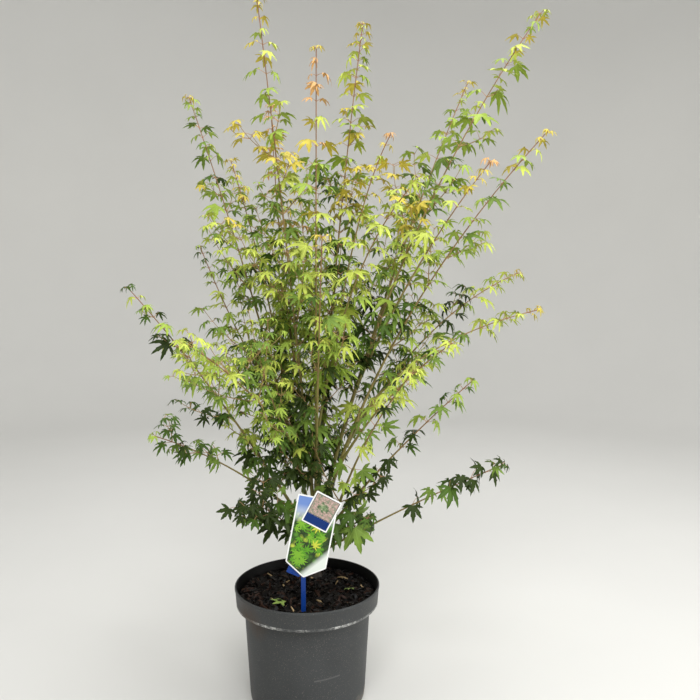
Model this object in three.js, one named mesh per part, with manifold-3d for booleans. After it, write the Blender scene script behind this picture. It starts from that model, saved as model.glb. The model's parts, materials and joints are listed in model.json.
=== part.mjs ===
// Potted japanese maple: a young shrub of many slender stems in its ten litre nursery pot, with a label.
// Millimetres, Z up. The origin is the centre of the pot's flat underside, X points right, Y to the back.
import * as THREE from 'three';
import { mergeVertices } from 'three/addons/utils/BufferGeometryUtils.js';
import loadManifold from 'manifold-3d';

const wasm = await loadManifold();
wasm.setup();

const UP = new THREE.Vector3(0, 0, 1);
const clearance = 0.3;

// The pot, a moulded container with a deep rim band over a tapering body.
const potHeight = 224;
const rimRadius = 140;
const bandDepth = 37;
const bandFootRadius = 137;
const bodyTopRadius = 122;
const baseRadius = 111;
const potWall = 3;
const floorTop = 4;
const bandStep = 4;
const baseEdge = 7;
const lipWidth = 3.5;
const potSides = 28;
const drainHoles = 8;
const drainHoleRadius = 6;
const drainHoleSides = 6;
const drainRingRadius = 88;
const bandFoot = potHeight - bandDepth;

// The compost fills the pot to a little below the rim.
const compostLevel = 205;
const compostDish = 3;
const compostFlatRadius = 112;
const compostEdgeRoom = 0.5;

// The trunk is a short stool that forks low down, set back from the middle of the pot.
const trunkFoot = new THREE.Vector3(10, 80, compostLevel + clearance);
const trunkBend = new THREE.Vector3(10, 80, 250);
const trunkTop = new THREE.Vector3(14, 78, 292);
const trunkRadius = 12;
const trunkTopRadius = 8;
const rootFlare = 6;
const rootRidges = 4;
const ridgeDepth = 0.35;
const flareFade = 6;
const trunkSides = 10;
const trunkSteps = 4;

// One row a stem. It leaves its parent's curve at the fraction `at` and ends at `tip`. Its bend point has
// made the share `drift` of its way out and `rise` of its way up. `foot` is its radius where it starts,
// `bare` the share of its length that is a bare bough, and `girth` how far its side twigs reach.
const stems = [
  // name, parent, at, tip, drift, rise, foot, bare, girth
  ['tall_left', 'trunk', 1, [-91, 40, 1335], 0.42, 0.5, 4.6, 0.26, 105],
  ['left_twin', 'tall_left', 0.19, [-83, 200, 1175], 0.75, 0.42, 3.8, 0.16, 95],
  ['front_left', 'tall_left', 0.14, [-179, -180, 700], 0.45, 0.62, 3.4, 0.18, 105],
  ['centre_left', 'trunk', 0.96, [23, -40, 1222], 0.3, 0.45, 4.6, 0.3, 100],
  ['front_centre', 'centre_left', 0.17, [38, -200, 880], 0.5, 0.6, 3.4, 0.16, 105],
  ['front_arching', 'centre_left', 0.225, [199, -150, 980], 0.3, 0.75, 3, 0.14, 90],
  ['left_outer', 'trunk', 0.92, [-281, 330, 1222], 0.4, 0.5, 4.4, 0.28, 105],
  ['left_inner', 'left_outer', 0.16, [-176, 250, 1070], 0.35, 0.55, 3.4, 0.17, 95],
  ['left_behind', 'left_outer', 0.24, [-252, 280, 885], 0.6, 0.5, 3, 0.14, 90],
  ['left_far', 'trunk', 0.8, [-352, 60, 795], 0.5, 0.6, 4.2, 0.32, 105],
  ['left_low', 'left_far', 0.1, [-280, -40, 521], 0.5, 0.7, 3, 0.3, 80],
  ['centre_tall', 'trunk', 1, [110, 210, 1345], 0.3, 0.5, 4.6, 0.26, 105],
  ['centre_thin', 'centre_tall', 0.2, [160, 40, 1085], 0.4, 0.75, 3, 0.14, 80],
  ['back_centre', 'centre_tall', 0.14, [-33, 350, 1015], 0.5, 0.5, 3.4, 0.14, 110],
  ['right_tall', 'trunk', 0.9, [470, 165, 1350], 0.27, 0.55, 5, 0.3, 105],
  ['right_behind', 'right_tall', 0.22, [349, 330, 1255], 0.42, 0.5, 3.8, 0.14, 95],
  ['right_inner', 'right_tall', 0.27, [333, -60, 1020], 0.45, 0.6, 3.4, 0.14, 90],
  ['back_right', 'right_tall', 0.17, [226, 340, 935], 0.5, 0.55, 3.4, 0.16, 110],
  ['right_far', 'trunk', 0.82, [450, 10, 1085], 0.25, 0.55, 4.6, 0.34, 105],
  ['right_reach_back', 'right_far', 0.23, [470, 330, 826], 0.4, 0.75, 3.4, 0.2, 95],
  ['right_reach', 'right_far', 0.28, [465, 110, 750], 0.3, 0.75, 3.4, 0.17, 95],
  ['right_front', 'right_far', 0.18, [261, -110, 700], 0.4, 0.6, 3.4, 0.17, 100],
  ['right_slant', 'trunk', 0.72, [312, -20, 622], 0.4, 0.5, 4.2, 0.26, 95],
  ['front_right', 'right_slant', 0.14, [184, -210, 660], 0.4, 0.6, 3.4, 0.18, 105],
  ['right_low', 'trunk', 0.5, [375, -10, 460], 0.45, 0.52, 3.2, 0.38, 80],
  ['left_skirt', 'trunk', 0.6, [-88, 5, 372], 0.55, 0.7, 2.6, 0, 70],
  ['right_skirt', 'trunk', 0.58, [118, 0, 352], 0.55, 0.75, 2.6, 0, 70],
].map(([name, parent, at, tip, drift, rise, foot, bare, girth]) => (
  { name, parent, at, tip, drift, rise, foot, bare, girth }
));
const stemTipRadius = 1.7;
const stemTaper = 1.5;
const boughSides = 5;
const stemSides = 4;
const twigSides = 3;

// The longest step along a curve in the mesh of a bough, of a stem in its foliage and of a fork.
const boughPace = 100;
const stemPace = 140;
const forkPace = 60;

// A fork belongs to its parent until it stands this clear of its parent and of the forks beside it.
const forkRoom = 1.2;
const forkSearch = { from: 0.02, to: 0.6, step: 0.005 };
const gapSamples = 300;

// How leaves and twigs are set along a stem: in opposite pairs, each turned a quarter round from the last.
const lowSpacing = 94;
const highSpacing = 64;
const fewestNodes = 4;
const lowestNode = 25;
const twigZone = 0.62;
const twigFootRadius = 2.3;
const twigTipRadius = 1.5;
const twigSpacing = 62;
const shortTwig = 0.55;
const twigLift = 0.25;
const twigSlant = 0.7;
const twigBend = 0.55;
const twigLengths = [0.8, 1.2];
const lastPair = 0.97;
const quarterTurn = Math.PI / 2;
const nodeSlips = [1.2, 4.2];
const jitter = 0.35;
const leafTurns = [0, 0.6, -0.6];
const leafLean = 0.35;
const leafLevel = 0.25;

// A leaf has five lobes spread like a hand. Each stands for two or three of the plant's own small leaves.
const leafLength = 62;
const leafThickness = 2.6;
const petioleLength = 34;
const petioleRise = 0.4;
const stemLeafSizes = { low: 1.1, loss: 0.45 };
const twigLeafSize = 0.95;
const leafSpread = [0.88, 1.12];
const fullLeaf = {
  sideLobes: [{ angle: 42, length: 0.9 }, { angle: 88, length: 0.66 }],
  sinusAngles: [21, 64],
};
const youngLeaf = { sideLobes: [{ angle: 50, length: 0.82 }], sinusAngles: [24] };
const youngSize = 0.85;
const sinusLength = 0.36;
const baseCorner = { angle: 150, length: 0.13 };
const lobeDroop = 0.16;
const hubSink = 0.02;
const leafDroop = [0.25, 0.85];

// Stems, twigs and leaves claim the cells that they pass through or near, so each mass keeps its own space.
const cellSize = 6;
const cellMargin = 3;
const sampleStep = 2.5;
const smallestDetail = 0.05;

// The label: a flat stick with a head, a pointed card on it, and a small card hooked over the first.
const labelFoot = new THREE.Vector3(-2, -92, 60);
const stickTop = 300;
const stickWidth = 8.6;
const stickThickness = 1.6;
const cardWidth = 75;
const cardShoulder = 128;
const cardHeight = 152;
const cardThickness = 1;
const cardTurn = 0.19;
const cardBottom = 271;
const smallCardWidth = 51;
const smallCardHeight = 62;
const smallCardTurn = 0.49;
const smallCardPlace = [32, 394];
const headWidth = 30;
const headHeight = 20;

function seededRandom(seed) {
  let state = seed >>> 0;
  return () => {
    state = (state + 0x6D2B79F5) >>> 0;
    let mixed = Math.imul(state ^ (state >>> 15), state | 1);
    mixed ^= mixed + Math.imul(mixed ^ (mixed >>> 7), mixed | 61);
    return ((mixed ^ (mixed >>> 14)) >>> 0) / 4294967296;
  };
}

function between([low, high], random) {
  return low + (high - low) * random();
}

function finish(colour, roughness) {
  return new THREE.MeshStandardMaterial({ color: colour, roughness, metalness: 0 });
}

const potFinish = () => finish('#56585a', 0.55);
const compostFinish = () => finish('#3a2c22', 0.95);
const barkFinish = () => finish('#7d7a4a', 0.75);
const foliageFinish = () => finish('#7fa23c', 0.6);
const stickFinish = () => finish('#1f56ad', 0.4);
const cardFinish = () => finish('#7cb35a', 0.4);

function toSolid(geometry) {
  const plain = geometry.clone();
  plain.deleteAttribute('normal');
  plain.deleteAttribute('uv');
  const merged = mergeVertices(plain, 1e-4);
  const mesh = new wasm.Mesh({
    numProp: 3,
    vertProperties: new Float32Array(merged.attributes.position.array),
    triVerts: new Uint32Array(merged.index.array),
  });
  return new wasm.Manifold(mesh);
}

function toGeometry(solid) {
  const mesh = solid.getMesh();
  const geometry = new THREE.BufferGeometry();
  geometry.setAttribute('position', new THREE.BufferAttribute(new Float32Array(mesh.vertProperties), 3));
  geometry.setIndex(new THREE.BufferAttribute(new Uint32Array(mesh.triVerts), 1));
  geometry.computeVertexNormals();
  return geometry;
}

function joined(solids) {
  return solids.reduce((whole, solid) => whole.add(solid));
}

// The largest body of a solid, without the loose scraps that joining may leave.
function wholePiece(solid) {
  const bodies = solid.decompose();
  return bodies.reduce((largest, body) => (body.volume() > largest.volume() ? body : largest));
}

// The stretch of a stem's curve between two fractions, as a curve of its own.
function stretch(curve, from, to) {
  const bend = new THREE.Vector3()
    .addScaledVector(curve.v0, (1 - from) * (1 - to))
    .addScaledVector(curve.v1, from * (1 - to) + to * (1 - from))
    .addScaledVector(curve.v2, from * to);
  return new THREE.QuadraticBezierCurve3(curve.getPoint(from), bend, curve.getPoint(to));
}

// Directions at a point of a curve: along it, square to the plane it bends in, and square to both.
function frameAt(curve, t) {
  const along = curve.getTangent(t);
  const chord = new THREE.Vector3().subVectors(curve.v2, curve.v0);
  const side = new THREE.Vector3().subVectors(curve.v1, curve.v0).cross(chord);
  if (side.length() < 1e-3 * chord.lengthSq()) {
    side.crossVectors(along, Math.abs(along.z) > 0.9 ? new THREE.Vector3(1, 0, 0) : UP);
  }
  side.addScaledVector(along, -side.dot(along)).normalize();
  return { along, side, front: new THREE.Vector3().crossVectors(along, side) };
}

// A closed round limb along a curve, with a radius for each fraction and angle.
function limb(curve, radiusAt, sides, steps) {
  const geometry = new THREE.CylinderGeometry(1, 1, 1, sides, steps);
  const points = geometry.attributes.position;
  for (let i = 0; i < points.count; i += 1) {
    const t = points.getY(i) + 0.5;
    const angle = Math.atan2(points.getZ(i), points.getX(i));
    const reach = Math.hypot(points.getX(i), points.getZ(i)) * radiusAt(t, angle);
    const { side, front } = frameAt(curve, t);
    const place = curve.getPoint(t)
      .addScaledVector(front, reach * Math.cos(angle))
      .addScaledVector(side, reach * Math.sin(angle));
    points.setXYZ(i, place.x, place.y, place.z);
  }
  return geometry;
}

function taper(from, to, power = 1) {
  return (t) => to + (from - to) * (1 - t) ** power;
}

// A leaf with its stalk: a flat star whose back point is the stalk's foot.
function leafGeometry(foot, out, size, droop, roll) {
  const stalk = out.clone().addScaledVector(UP, petioleRise).normalize();
  const hub = foot.clone().addScaledVector(stalk, petioleLength * size);
  const axis = out.clone().multiplyScalar(Math.cos(droop)).addScaledVector(UP, -Math.sin(droop));
  const side = new THREE.Vector3().crossVectors(UP, out).normalize().applyAxisAngle(axis, roll);
  const normal = new THREE.Vector3().crossVectors(axis, side).normalize();
  const length = leafLength * size;
  const rimPoint = (angle, share) => {
    const radians = THREE.MathUtils.degToRad(angle);
    return hub.clone()
      .addScaledVector(axis, Math.cos(radians) * share * length)
      .addScaledVector(side, Math.sin(radians) * share * length)
      .addScaledVector(normal, -lobeDroop * share * share * length);
  };
  const { sideLobes, sinusAngles } = size < youngSize ? youngLeaf : fullLeaf;
  const halfRim = (way) => sideLobes.flatMap((lobe, i) => [
    rimPoint(way * sinusAngles[i], sinusLength), rimPoint(way * lobe.angle, lobe.length),
  ]).concat([rimPoint(way * baseCorner.angle, baseCorner.length)]);
  const rim = [foot, ...halfRim(1).reverse(), rimPoint(0, 1), ...halfRim(-1)];
  const geometry = new THREE.ConeGeometry(1, 1, rim.length, 1);
  const points = geometry.attributes.position;
  for (let i = 0; i < points.count; i += 1) {
    const onRim = Math.hypot(points.getX(i), points.getZ(i)) > 0.5;
    const turn = Math.atan2(-points.getX(i), points.getZ(i));
    const index = (Math.round(turn / (2 * Math.PI) * rim.length) + rim.length) % rim.length;
    const lift = points.getY(i) > 0 ? leafThickness : 0;
    const place = onRim ? rim[index] : hub.clone().addScaledVector(normal, lift - hubSink * length);
    points.setXYZ(i, place.x, place.y, place.z);
  }
  return geometry;
}

// Which mass or limb each cell of space belongs to.
const claims = new Map();

function cellKey(x, y, z) {
  return [x, y, z].map((value) => Math.floor(value / cellSize)).join();
}

function forSamples(geometry, visit) {
  const flat = (geometry.index ? geometry.toNonIndexed() : geometry).attributes.position;
  const [a, b, c] = [new THREE.Vector3(), new THREE.Vector3(), new THREE.Vector3()];
  for (let i = 0; i < flat.count; i += 3) {
    a.fromBufferAttribute(flat, i);
    b.fromBufferAttribute(flat, i + 1).sub(a);
    c.fromBufferAttribute(flat, i + 2).sub(a);
    const steps = Math.ceil(Math.max(b.length(), c.length(), b.distanceTo(c)) / sampleStep);
    for (let u = 0; u <= steps; u += 1) {
      for (let v = 0; v <= steps - u; v += 1) {
        visit(a.clone().addScaledVector(b, u / steps).addScaledVector(c, v / steps));
      }
    }
  }
}

function claim(geometry, owner) {
  const offsets = [-cellMargin, cellMargin];
  forSamples(geometry, (place) => {
    offsets.forEach((x) => offsets.forEach((y) => offsets.forEach((z) => {
      const key = cellKey(place.x + x, place.y + y, place.z + z);
      if (!claims.has(key)) claims.set(key, owner);
    })));
  });
}

// Claims a geometry's space if only the wood that it grows on is there, and says whether it could.
function takeSpace(geometry, owner, wood) {
  let free = true;
  forSamples(geometry, (place) => {
    const holder = claims.get(cellKey(place.x, place.y, place.z));
    if (holder !== undefined && holder !== wood) free = false;
  });
  if (free) claim(geometry, owner);
  return free;
}

const shrub = new THREE.Group();

function addMesh(name, geometry, material) {
  const mesh = new THREE.Mesh(geometry, material);
  mesh.name = name;
  shrub.add(mesh);
  return mesh;
}

function outline(points) {
  return points.map(([radius, height]) => new THREE.Vector2(radius, height));
}

function lathed(points, sides) {
  const geometry = new THREE.LatheGeometry(outline(points), sides);
  geometry.rotateX(Math.PI / 2);
  return geometry;
}

// The pot's inside from under its lip down to the floor.
const potInside = [
  [bandFootRadius - potWall, bandFoot + potWall],
  [bodyTopRadius - potWall, bandFoot - bandStep + potWall],
  [baseRadius - baseEdge, floorTop],
];

function makePot() {
  const profile = [
    [0, 0], [baseRadius - baseEdge, 0], [baseRadius, baseEdge], [bodyTopRadius, bandFoot - bandStep],
    [bandFootRadius, bandFoot], [rimRadius, potHeight], [rimRadius - lipWidth, potHeight],
    ...potInside, [0, floorTop],
  ];
  const drillLength = 4 * floorTop;
  const drill = new THREE.CylinderGeometry(
    drainHoleRadius, drainHoleRadius, drillLength, drainHoleSides,
  ).rotateX(Math.PI / 2);
  let shell = toSolid(lathed(profile, potSides));
  for (let i = 0; i < drainHoles; i += 1) {
    const turn = (i + 0.5) / drainHoles * 2 * Math.PI;
    const hole = drill.clone().translate(drainRingRadius, 0, 0).rotateZ(turn);
    shell = shell.subtract(toSolid(hole));
  }
  return toGeometry(shell);
}

function makeCompost() {
  const edgeLevel = compostLevel - compostDish;
  const bandInside = bandFootRadius - potWall;
  const lipInside = rimRadius - lipWidth;
  const wallRadius = bandInside + (lipInside - bandInside) * (edgeLevel - bandFoot) / bandDepth;
  const fill = potInside.map(([radius, height]) => [radius - clearance, height + clearance]).reverse();
  const profile = [
    [0, floorTop + clearance], ...fill, [wallRadius - clearance - compostEdgeRoom, edgeLevel],
    [compostFlatRadius, compostLevel], [0, compostLevel],
  ];
  const slot = new THREE.BoxGeometry(
    stickWidth + 2 * clearance, stickThickness + 2 * clearance, potHeight,
  ).translate(labelFoot.x, labelFoot.y, labelFoot.z - clearance + potHeight / 2);
  return toGeometry(toSolid(lathed(profile, potSides)).subtract(toSolid(slot)));
}

// A flat card, drawn face on from its bottom middle, then turned in its own plane and set upright.
function card(points, thickness, turn, place) {
  const shape = new THREE.Shape(points.map(([x, y]) => new THREE.Vector2(x, y)));
  const geometry = new THREE.ExtrudeGeometry(shape, { depth: thickness, bevelEnabled: false });
  return geometry.rotateZ(-turn).rotateX(Math.PI / 2).translate(...place);
}

function makeLabel() {
  const half = stickWidth / 2;
  const stickLength = stickTop - labelFoot.z;
  const neck = stickLength - headHeight;
  const stick = [
    [-half, 0], [half, 0], [half, neck], [headWidth / 2, neck], [headWidth / 2, stickLength],
    [-headWidth / 2, stickLength], [-headWidth / 2, neck], [-half, neck],
  ];
  const stickBack = labelFoot.y + stickThickness / 2;
  const stickGeometry = card(stick, stickThickness, 0, [labelFoot.x, stickBack, labelFoot.z]);
  addMesh('label_stick', stickGeometry, stickFinish());

  const point = cardHeight - cardShoulder;
  const side = cardWidth / 2;
  const main = [[0, 0], [side, point], [side, cardHeight], [-side, cardHeight], [-side, point]];
  const cardBack = stickBack - stickThickness - clearance;
  const mainGeometry = card(main, cardThickness, cardTurn, [labelFoot.x, cardBack, cardBottom]);
  addMesh('label_card', mainGeometry, cardFinish());

  const smallSide = smallCardWidth / 2;
  const smallHalf = smallCardHeight / 2;
  const small = [
    [-smallSide, -smallHalf], [smallSide, -smallHalf], [smallSide, smallHalf], [-smallSide, smallHalf],
  ];
  const smallBack = cardBack - cardThickness - clearance;
  const [smallX, smallZ] = smallCardPlace;
  const smallGeometry = card(small, cardThickness, smallCardTurn, [smallX, smallBack, smallZ]);
  addMesh('label_small_card', smallGeometry, cardFinish());
}

// Each stem gets its curve, its children and the fraction at which it stands clear of what it forks from.
const trunk = {
  name: 'trunk', curve: new THREE.QuadraticBezierCurve3(trunkFoot, trunkBend, trunkTop), children: [],
  radiusAt: taper(trunkRadius, trunkTopRadius),
};

function growStems() {
  const known = new Map([['trunk', trunk]]);
  stems.forEach((stem, index) => {
    const parent = known.get(stem.parent);
    const start = parent.curve.getPoint(stem.at);
    const tip = new THREE.Vector3(...stem.tip);
    const way = new THREE.Vector3().subVectors(tip, start);
    const bend = new THREE.Vector3(way.x * stem.drift, way.y * stem.drift, way.z * stem.rise).add(start);
    stem.curve = new THREE.QuadraticBezierCurve3(start, bend, tip);
    stem.radiusAt = taper(stem.foot, stemTipRadius, stemTaper);
    stem.children = [];
    stem.seed = index + 1;
    parent.children.push(stem);
    known.set(stem.name, stem);
  });
}

// The distance between two limbs' surfaces near the fraction t of the first.
function gapTo(stem, t, other) {
  const place = stem.curve.getPoint(t);
  let least = Infinity;
  for (let i = 0; i <= gapSamples; i += 1) {
    const share = i / gapSamples;
    const gap = place.distanceTo(other.curve.getPoint(share)) - stem.radiusAt(t) - other.radiusAt(share);
    least = Math.min(least, gap);
  }
  return least;
}

// How far out a fork reaches: the child is part of its parent's solid until it stands clear.
function forkEnd(stem, neighboursOfStem) {
  const { from, to, step } = forkSearch;
  let end = from;
  for (let t = from; t < to; t += step) {
    if (neighboursOfStem.some((other) => gapTo(stem, t, other) < forkRoom)) end = t + step;
  }
  return end;
}

function limbSteps(curve, pace) {
  return Math.max(2, Math.round(curve.getLength() / pace));
}

function stemPart(stem, from, to, sides, pace) {
  const part = stretch(stem.curve, from, to);
  const radius = taper(stem.radiusAt(from), stem.radiusAt(to));
  return limb(part, radius, sides, limbSteps(part, pace));
}

function gapShare(stem, t) {
  const bit = 1e-3;
  return clearance / (stem.curve.getPoint(t).distanceTo(stem.curve.getPoint(t + bit)) / bit);
}

// The solid of a limb with the start of every limb that forks from it.
function withForks(own, parent) {
  const forks = parent.children
    .map((child) => toSolid(stemPart(child, 0, child.forkEnd, boughSides, forkPace)));
  return wholePiece(joined([own, ...forks]));
}

function trunkSolid() {
  const ridges = (angle) => 1 + ridgeDepth * Math.cos(rootRidges * angle);
  const flare = (t, angle) => rootFlare * Math.exp(-flareFade * t) * ridges(angle);
  const radius = (t, angle) => trunk.radiusAt(t) + flare(t, angle);
  return toSolid(limb(trunk.curve, radius, trunkSides, trunkSteps));
}

function makeTrunkAndBoughs() {
  const limbs = [{ name: 'trunk', solid: withForks(trunkSolid(), trunk) }];
  stems.filter((stem) => stem.bare > 0).forEach((stem) => {
    const start = stem.forkEnd + gapShare(stem, stem.forkEnd);
    const own = toSolid(stemPart(stem, start, stem.bare, boughSides, boughPace));
    limbs.push({ name: `bough_${stem.name}`, solid: withForks(own, stem) });
  });
  limbs.forEach(({ name, solid }) => {
    const geometry = toGeometry(solid);
    claim(geometry, name);
    addMesh(name, geometry, barkFinish());
  });
}

// A pair's first direction, square to the stem and turned about it.
function pairDirection(frame, turn) {
  return frame.front.clone().multiplyScalar(Math.cos(turn)).addScaledVector(frame.side, Math.sin(turn));
}

// Leaves face outwards and nearly level, whatever way the twig points.
function leafOut(direction, along, random) {
  const out = direction.clone().addScaledVector(along, leafLean);
  out.z *= leafLevel;
  out.normalize().applyAxisAngle(UP, (random() - 0.5) * 2 * jitter);
  return out;
}

// One leaf on a twig, turned a little further each time that its space isn't free, and then left out.
function tryLeaf(mass, place, radius, out, size, random) {
  const droop = between(leafDroop, random);
  const roll = (random() - 0.5) * jitter;
  const grown = size * between(leafSpread, random);
  for (const turn of leafTurns) {
    const turned = out.clone().applyAxisAngle(UP, turn);
    const foot = place.clone().addScaledVector(turned, -0.5 * radius);
    const geometry = leafGeometry(foot, turned, grown, droop, roll);
    if (takeSpace(geometry, `${mass.name} leaves`, mass.name)) {
      mass.parts.push(toSolid(geometry));
      return;
    }
  }
}

// Two leaves on opposite sides, each a little below the node so that their feet stay apart.
function leafPair(mass, curve, t, radius, turn, size, random) {
  const frame = frameAt(curve, t);
  for (const way of [0, Math.PI]) {
    const direction = pairDirection(frame, turn + way);
    const place = curve.getPoint(t).addScaledVector(frame.along, -between(nodeSlips, random));
    tryLeaf(mass, place, radius, leafOut(direction, frame.along, random), size, random);
  }
}

// A side twig that leaves at a slant, lifts towards its end, and carries leaf pairs.
function tryTwig(mass, place, frame, turn, reach, random) {
  const direction = pairDirection(frame, turn + (random() - 0.5) * jitter);
  direction.addScaledVector(frame.along, twigSlant).normalize();
  const length = reach * between(twigLengths, random);
  const bend = place.clone().addScaledVector(direction, length * twigBend);
  const tip = place.clone().addScaledVector(direction, length).addScaledVector(UP, length * twigLift);
  const curve = new THREE.QuadraticBezierCurve3(place.clone(), bend, tip);
  const geometry = limb(curve, taper(twigFootRadius, twigTipRadius), twigSides, 1);
  if (!takeSpace(geometry, mass.name, mass.name)) return;
  mass.parts.push(toSolid(geometry));
  const pairs = Math.max(1, Math.round(length / twigSpacing));
  for (let i = 1; i <= pairs; i += 1) {
    const t = i / pairs * lastPair;
    leafPair(mass, curve, t, twigTipRadius, (i % 2) * quarterTurn, twigLeafSize, random);
  }
}

// Everything that grows at one node of a stem: a twig each way low down, a leaf each way higher up.
function growNode(mass, node, random) {
  const { curve, t, turn } = node;
  const frame = frameAt(curve, t);
  const place = curve.getPoint(t);
  const radius = mass.radiusAt(t);
  if (node.share < twigZone) {
    const reach = mass.girth * (1 + (shortTwig - 1) * node.share / twigZone);
    const side = node.index % 4 < 2 ? 0 : Math.PI;
    tryTwig(mass, place, frame, turn + side, reach, random);
    const out = leafOut(pairDirection(frame, turn + side + Math.PI), frame.along, random);
    tryLeaf(mass, place, radius, out, 1, random);
  } else {
    const size = stemLeafSizes.low - stemLeafSizes.loss * node.share;
    leafPair(mass, curve, t, radius, turn, size, random);
  }
}

function startMass(stem) {
  const from = stem.bare > 0 ? stem.bare : stem.forkEnd;
  const begin = from + gapShare(stem, from);
  const curve = stretch(stem.curve, begin, 1);
  const radiusAt = taper(stem.radiusAt(begin), stem.radiusAt(1));
  const geometry = limb(curve, radiusAt, stemSides, limbSteps(curve, stemPace));
  const name = `foliage_${stem.name}`;
  const mass = { name, curve, radiusAt, girth: stem.girth, parts: [toSolid(geometry)] };
  claim(geometry, name);
  mass.random = seededRandom(stem.seed);
  mass.nodes = [];
  const length = curve.getLength();
  const pace = Math.min(1, length / (fewestNodes * highSpacing));
  let place = length;
  for (let index = 0; place > lowestNode; index += 1) {
    const share = place / length;
    const t = curve.getUtoTmapping(share);
    mass.nodes.push({ curve, t, share, index, turn: index * quarterTurn });
    place -= pace * (highSpacing + (lowSpacing - highSpacing) * (1 - share));
  }
  return mass;
}

// The masses take turns, a node at a time from their tips down, so that none crowds out another.
function makeFoliage() {
  const masses = stems.map(startMass);
  const rounds = Math.max(...masses.map((mass) => mass.nodes.length));
  for (let round = 0; round < rounds; round += 1) {
    masses.filter((mass) => mass.nodes[round])
      .forEach((mass) => growNode(mass, mass.nodes[round], mass.random));
  }
  masses.forEach((mass) => {
    const solid = wholePiece(joined(mass.parts)).simplify(smallestDetail);
    addMesh(mass.name, toGeometry(solid), foliageFinish());
  });
}

addMesh('pot', makePot(), potFinish());
addMesh('compost', makeCompost(), compostFinish());
makeLabel();
shrub.children.forEach((mesh) => claim(mesh.geometry, mesh.name));

growStems();
[trunk, ...stems].forEach((parent) => {
  parent.children.forEach((child) => {
    const siblings = parent.children.filter((other) => other !== child);
    child.forkEnd = forkEnd(child, [parent, ...siblings]);
  });
});
makeTrunkAndBoughs();
makeFoliage();

export default shrub;
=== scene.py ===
"""A young many-stemmed japanese maple in its nursery pot: the looks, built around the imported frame."""

import json
import math
import random

import bmesh
import bpy
from bpy.props import FloatProperty, FloatVectorProperty, IntProperty, PointerProperty
from mathutils import Matrix, Quaternion, Vector, noise

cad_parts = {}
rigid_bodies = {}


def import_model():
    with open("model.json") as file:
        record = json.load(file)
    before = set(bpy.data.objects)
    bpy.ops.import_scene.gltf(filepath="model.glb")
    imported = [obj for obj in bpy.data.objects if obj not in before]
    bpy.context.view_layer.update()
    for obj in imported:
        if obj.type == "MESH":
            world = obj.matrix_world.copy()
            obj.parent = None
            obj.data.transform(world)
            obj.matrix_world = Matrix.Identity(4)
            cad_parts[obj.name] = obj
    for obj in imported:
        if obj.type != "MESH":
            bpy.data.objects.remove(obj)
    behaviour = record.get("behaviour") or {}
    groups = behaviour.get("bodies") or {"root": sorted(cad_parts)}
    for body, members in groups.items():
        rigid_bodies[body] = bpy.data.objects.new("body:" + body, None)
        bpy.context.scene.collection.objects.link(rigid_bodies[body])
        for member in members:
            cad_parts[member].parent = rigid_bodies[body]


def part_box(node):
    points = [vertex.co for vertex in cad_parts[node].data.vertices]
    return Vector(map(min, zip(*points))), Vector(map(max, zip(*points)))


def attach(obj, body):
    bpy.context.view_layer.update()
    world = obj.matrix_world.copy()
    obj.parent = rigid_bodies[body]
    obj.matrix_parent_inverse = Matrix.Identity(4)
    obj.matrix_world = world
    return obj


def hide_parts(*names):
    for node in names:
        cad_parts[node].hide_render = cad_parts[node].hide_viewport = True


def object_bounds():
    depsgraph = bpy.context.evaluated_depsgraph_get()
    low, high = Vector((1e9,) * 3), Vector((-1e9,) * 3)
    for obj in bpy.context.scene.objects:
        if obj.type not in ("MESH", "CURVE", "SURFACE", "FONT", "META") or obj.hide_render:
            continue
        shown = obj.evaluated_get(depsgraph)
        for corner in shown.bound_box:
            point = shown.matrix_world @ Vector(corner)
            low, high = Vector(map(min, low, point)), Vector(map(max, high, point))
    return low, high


bl_info = {
    "name": "Potted Japanese Maple",
    "version": (1, 0, 0),
    "blender": (4, 5, 0),
    "location": "3D View > Sidebar > Maple",
    "description": "Builds a young japanese maple with its pot, compost and plant label",
    "category": "Add Mesh",
}

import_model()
cad_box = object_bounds()

MM = 0.001
UP = Vector((0, 0, 1))
QUARTER_TURN, HALF_TURN, FULL_TURN = math.pi / 2, math.pi, 2 * math.pi

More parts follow.
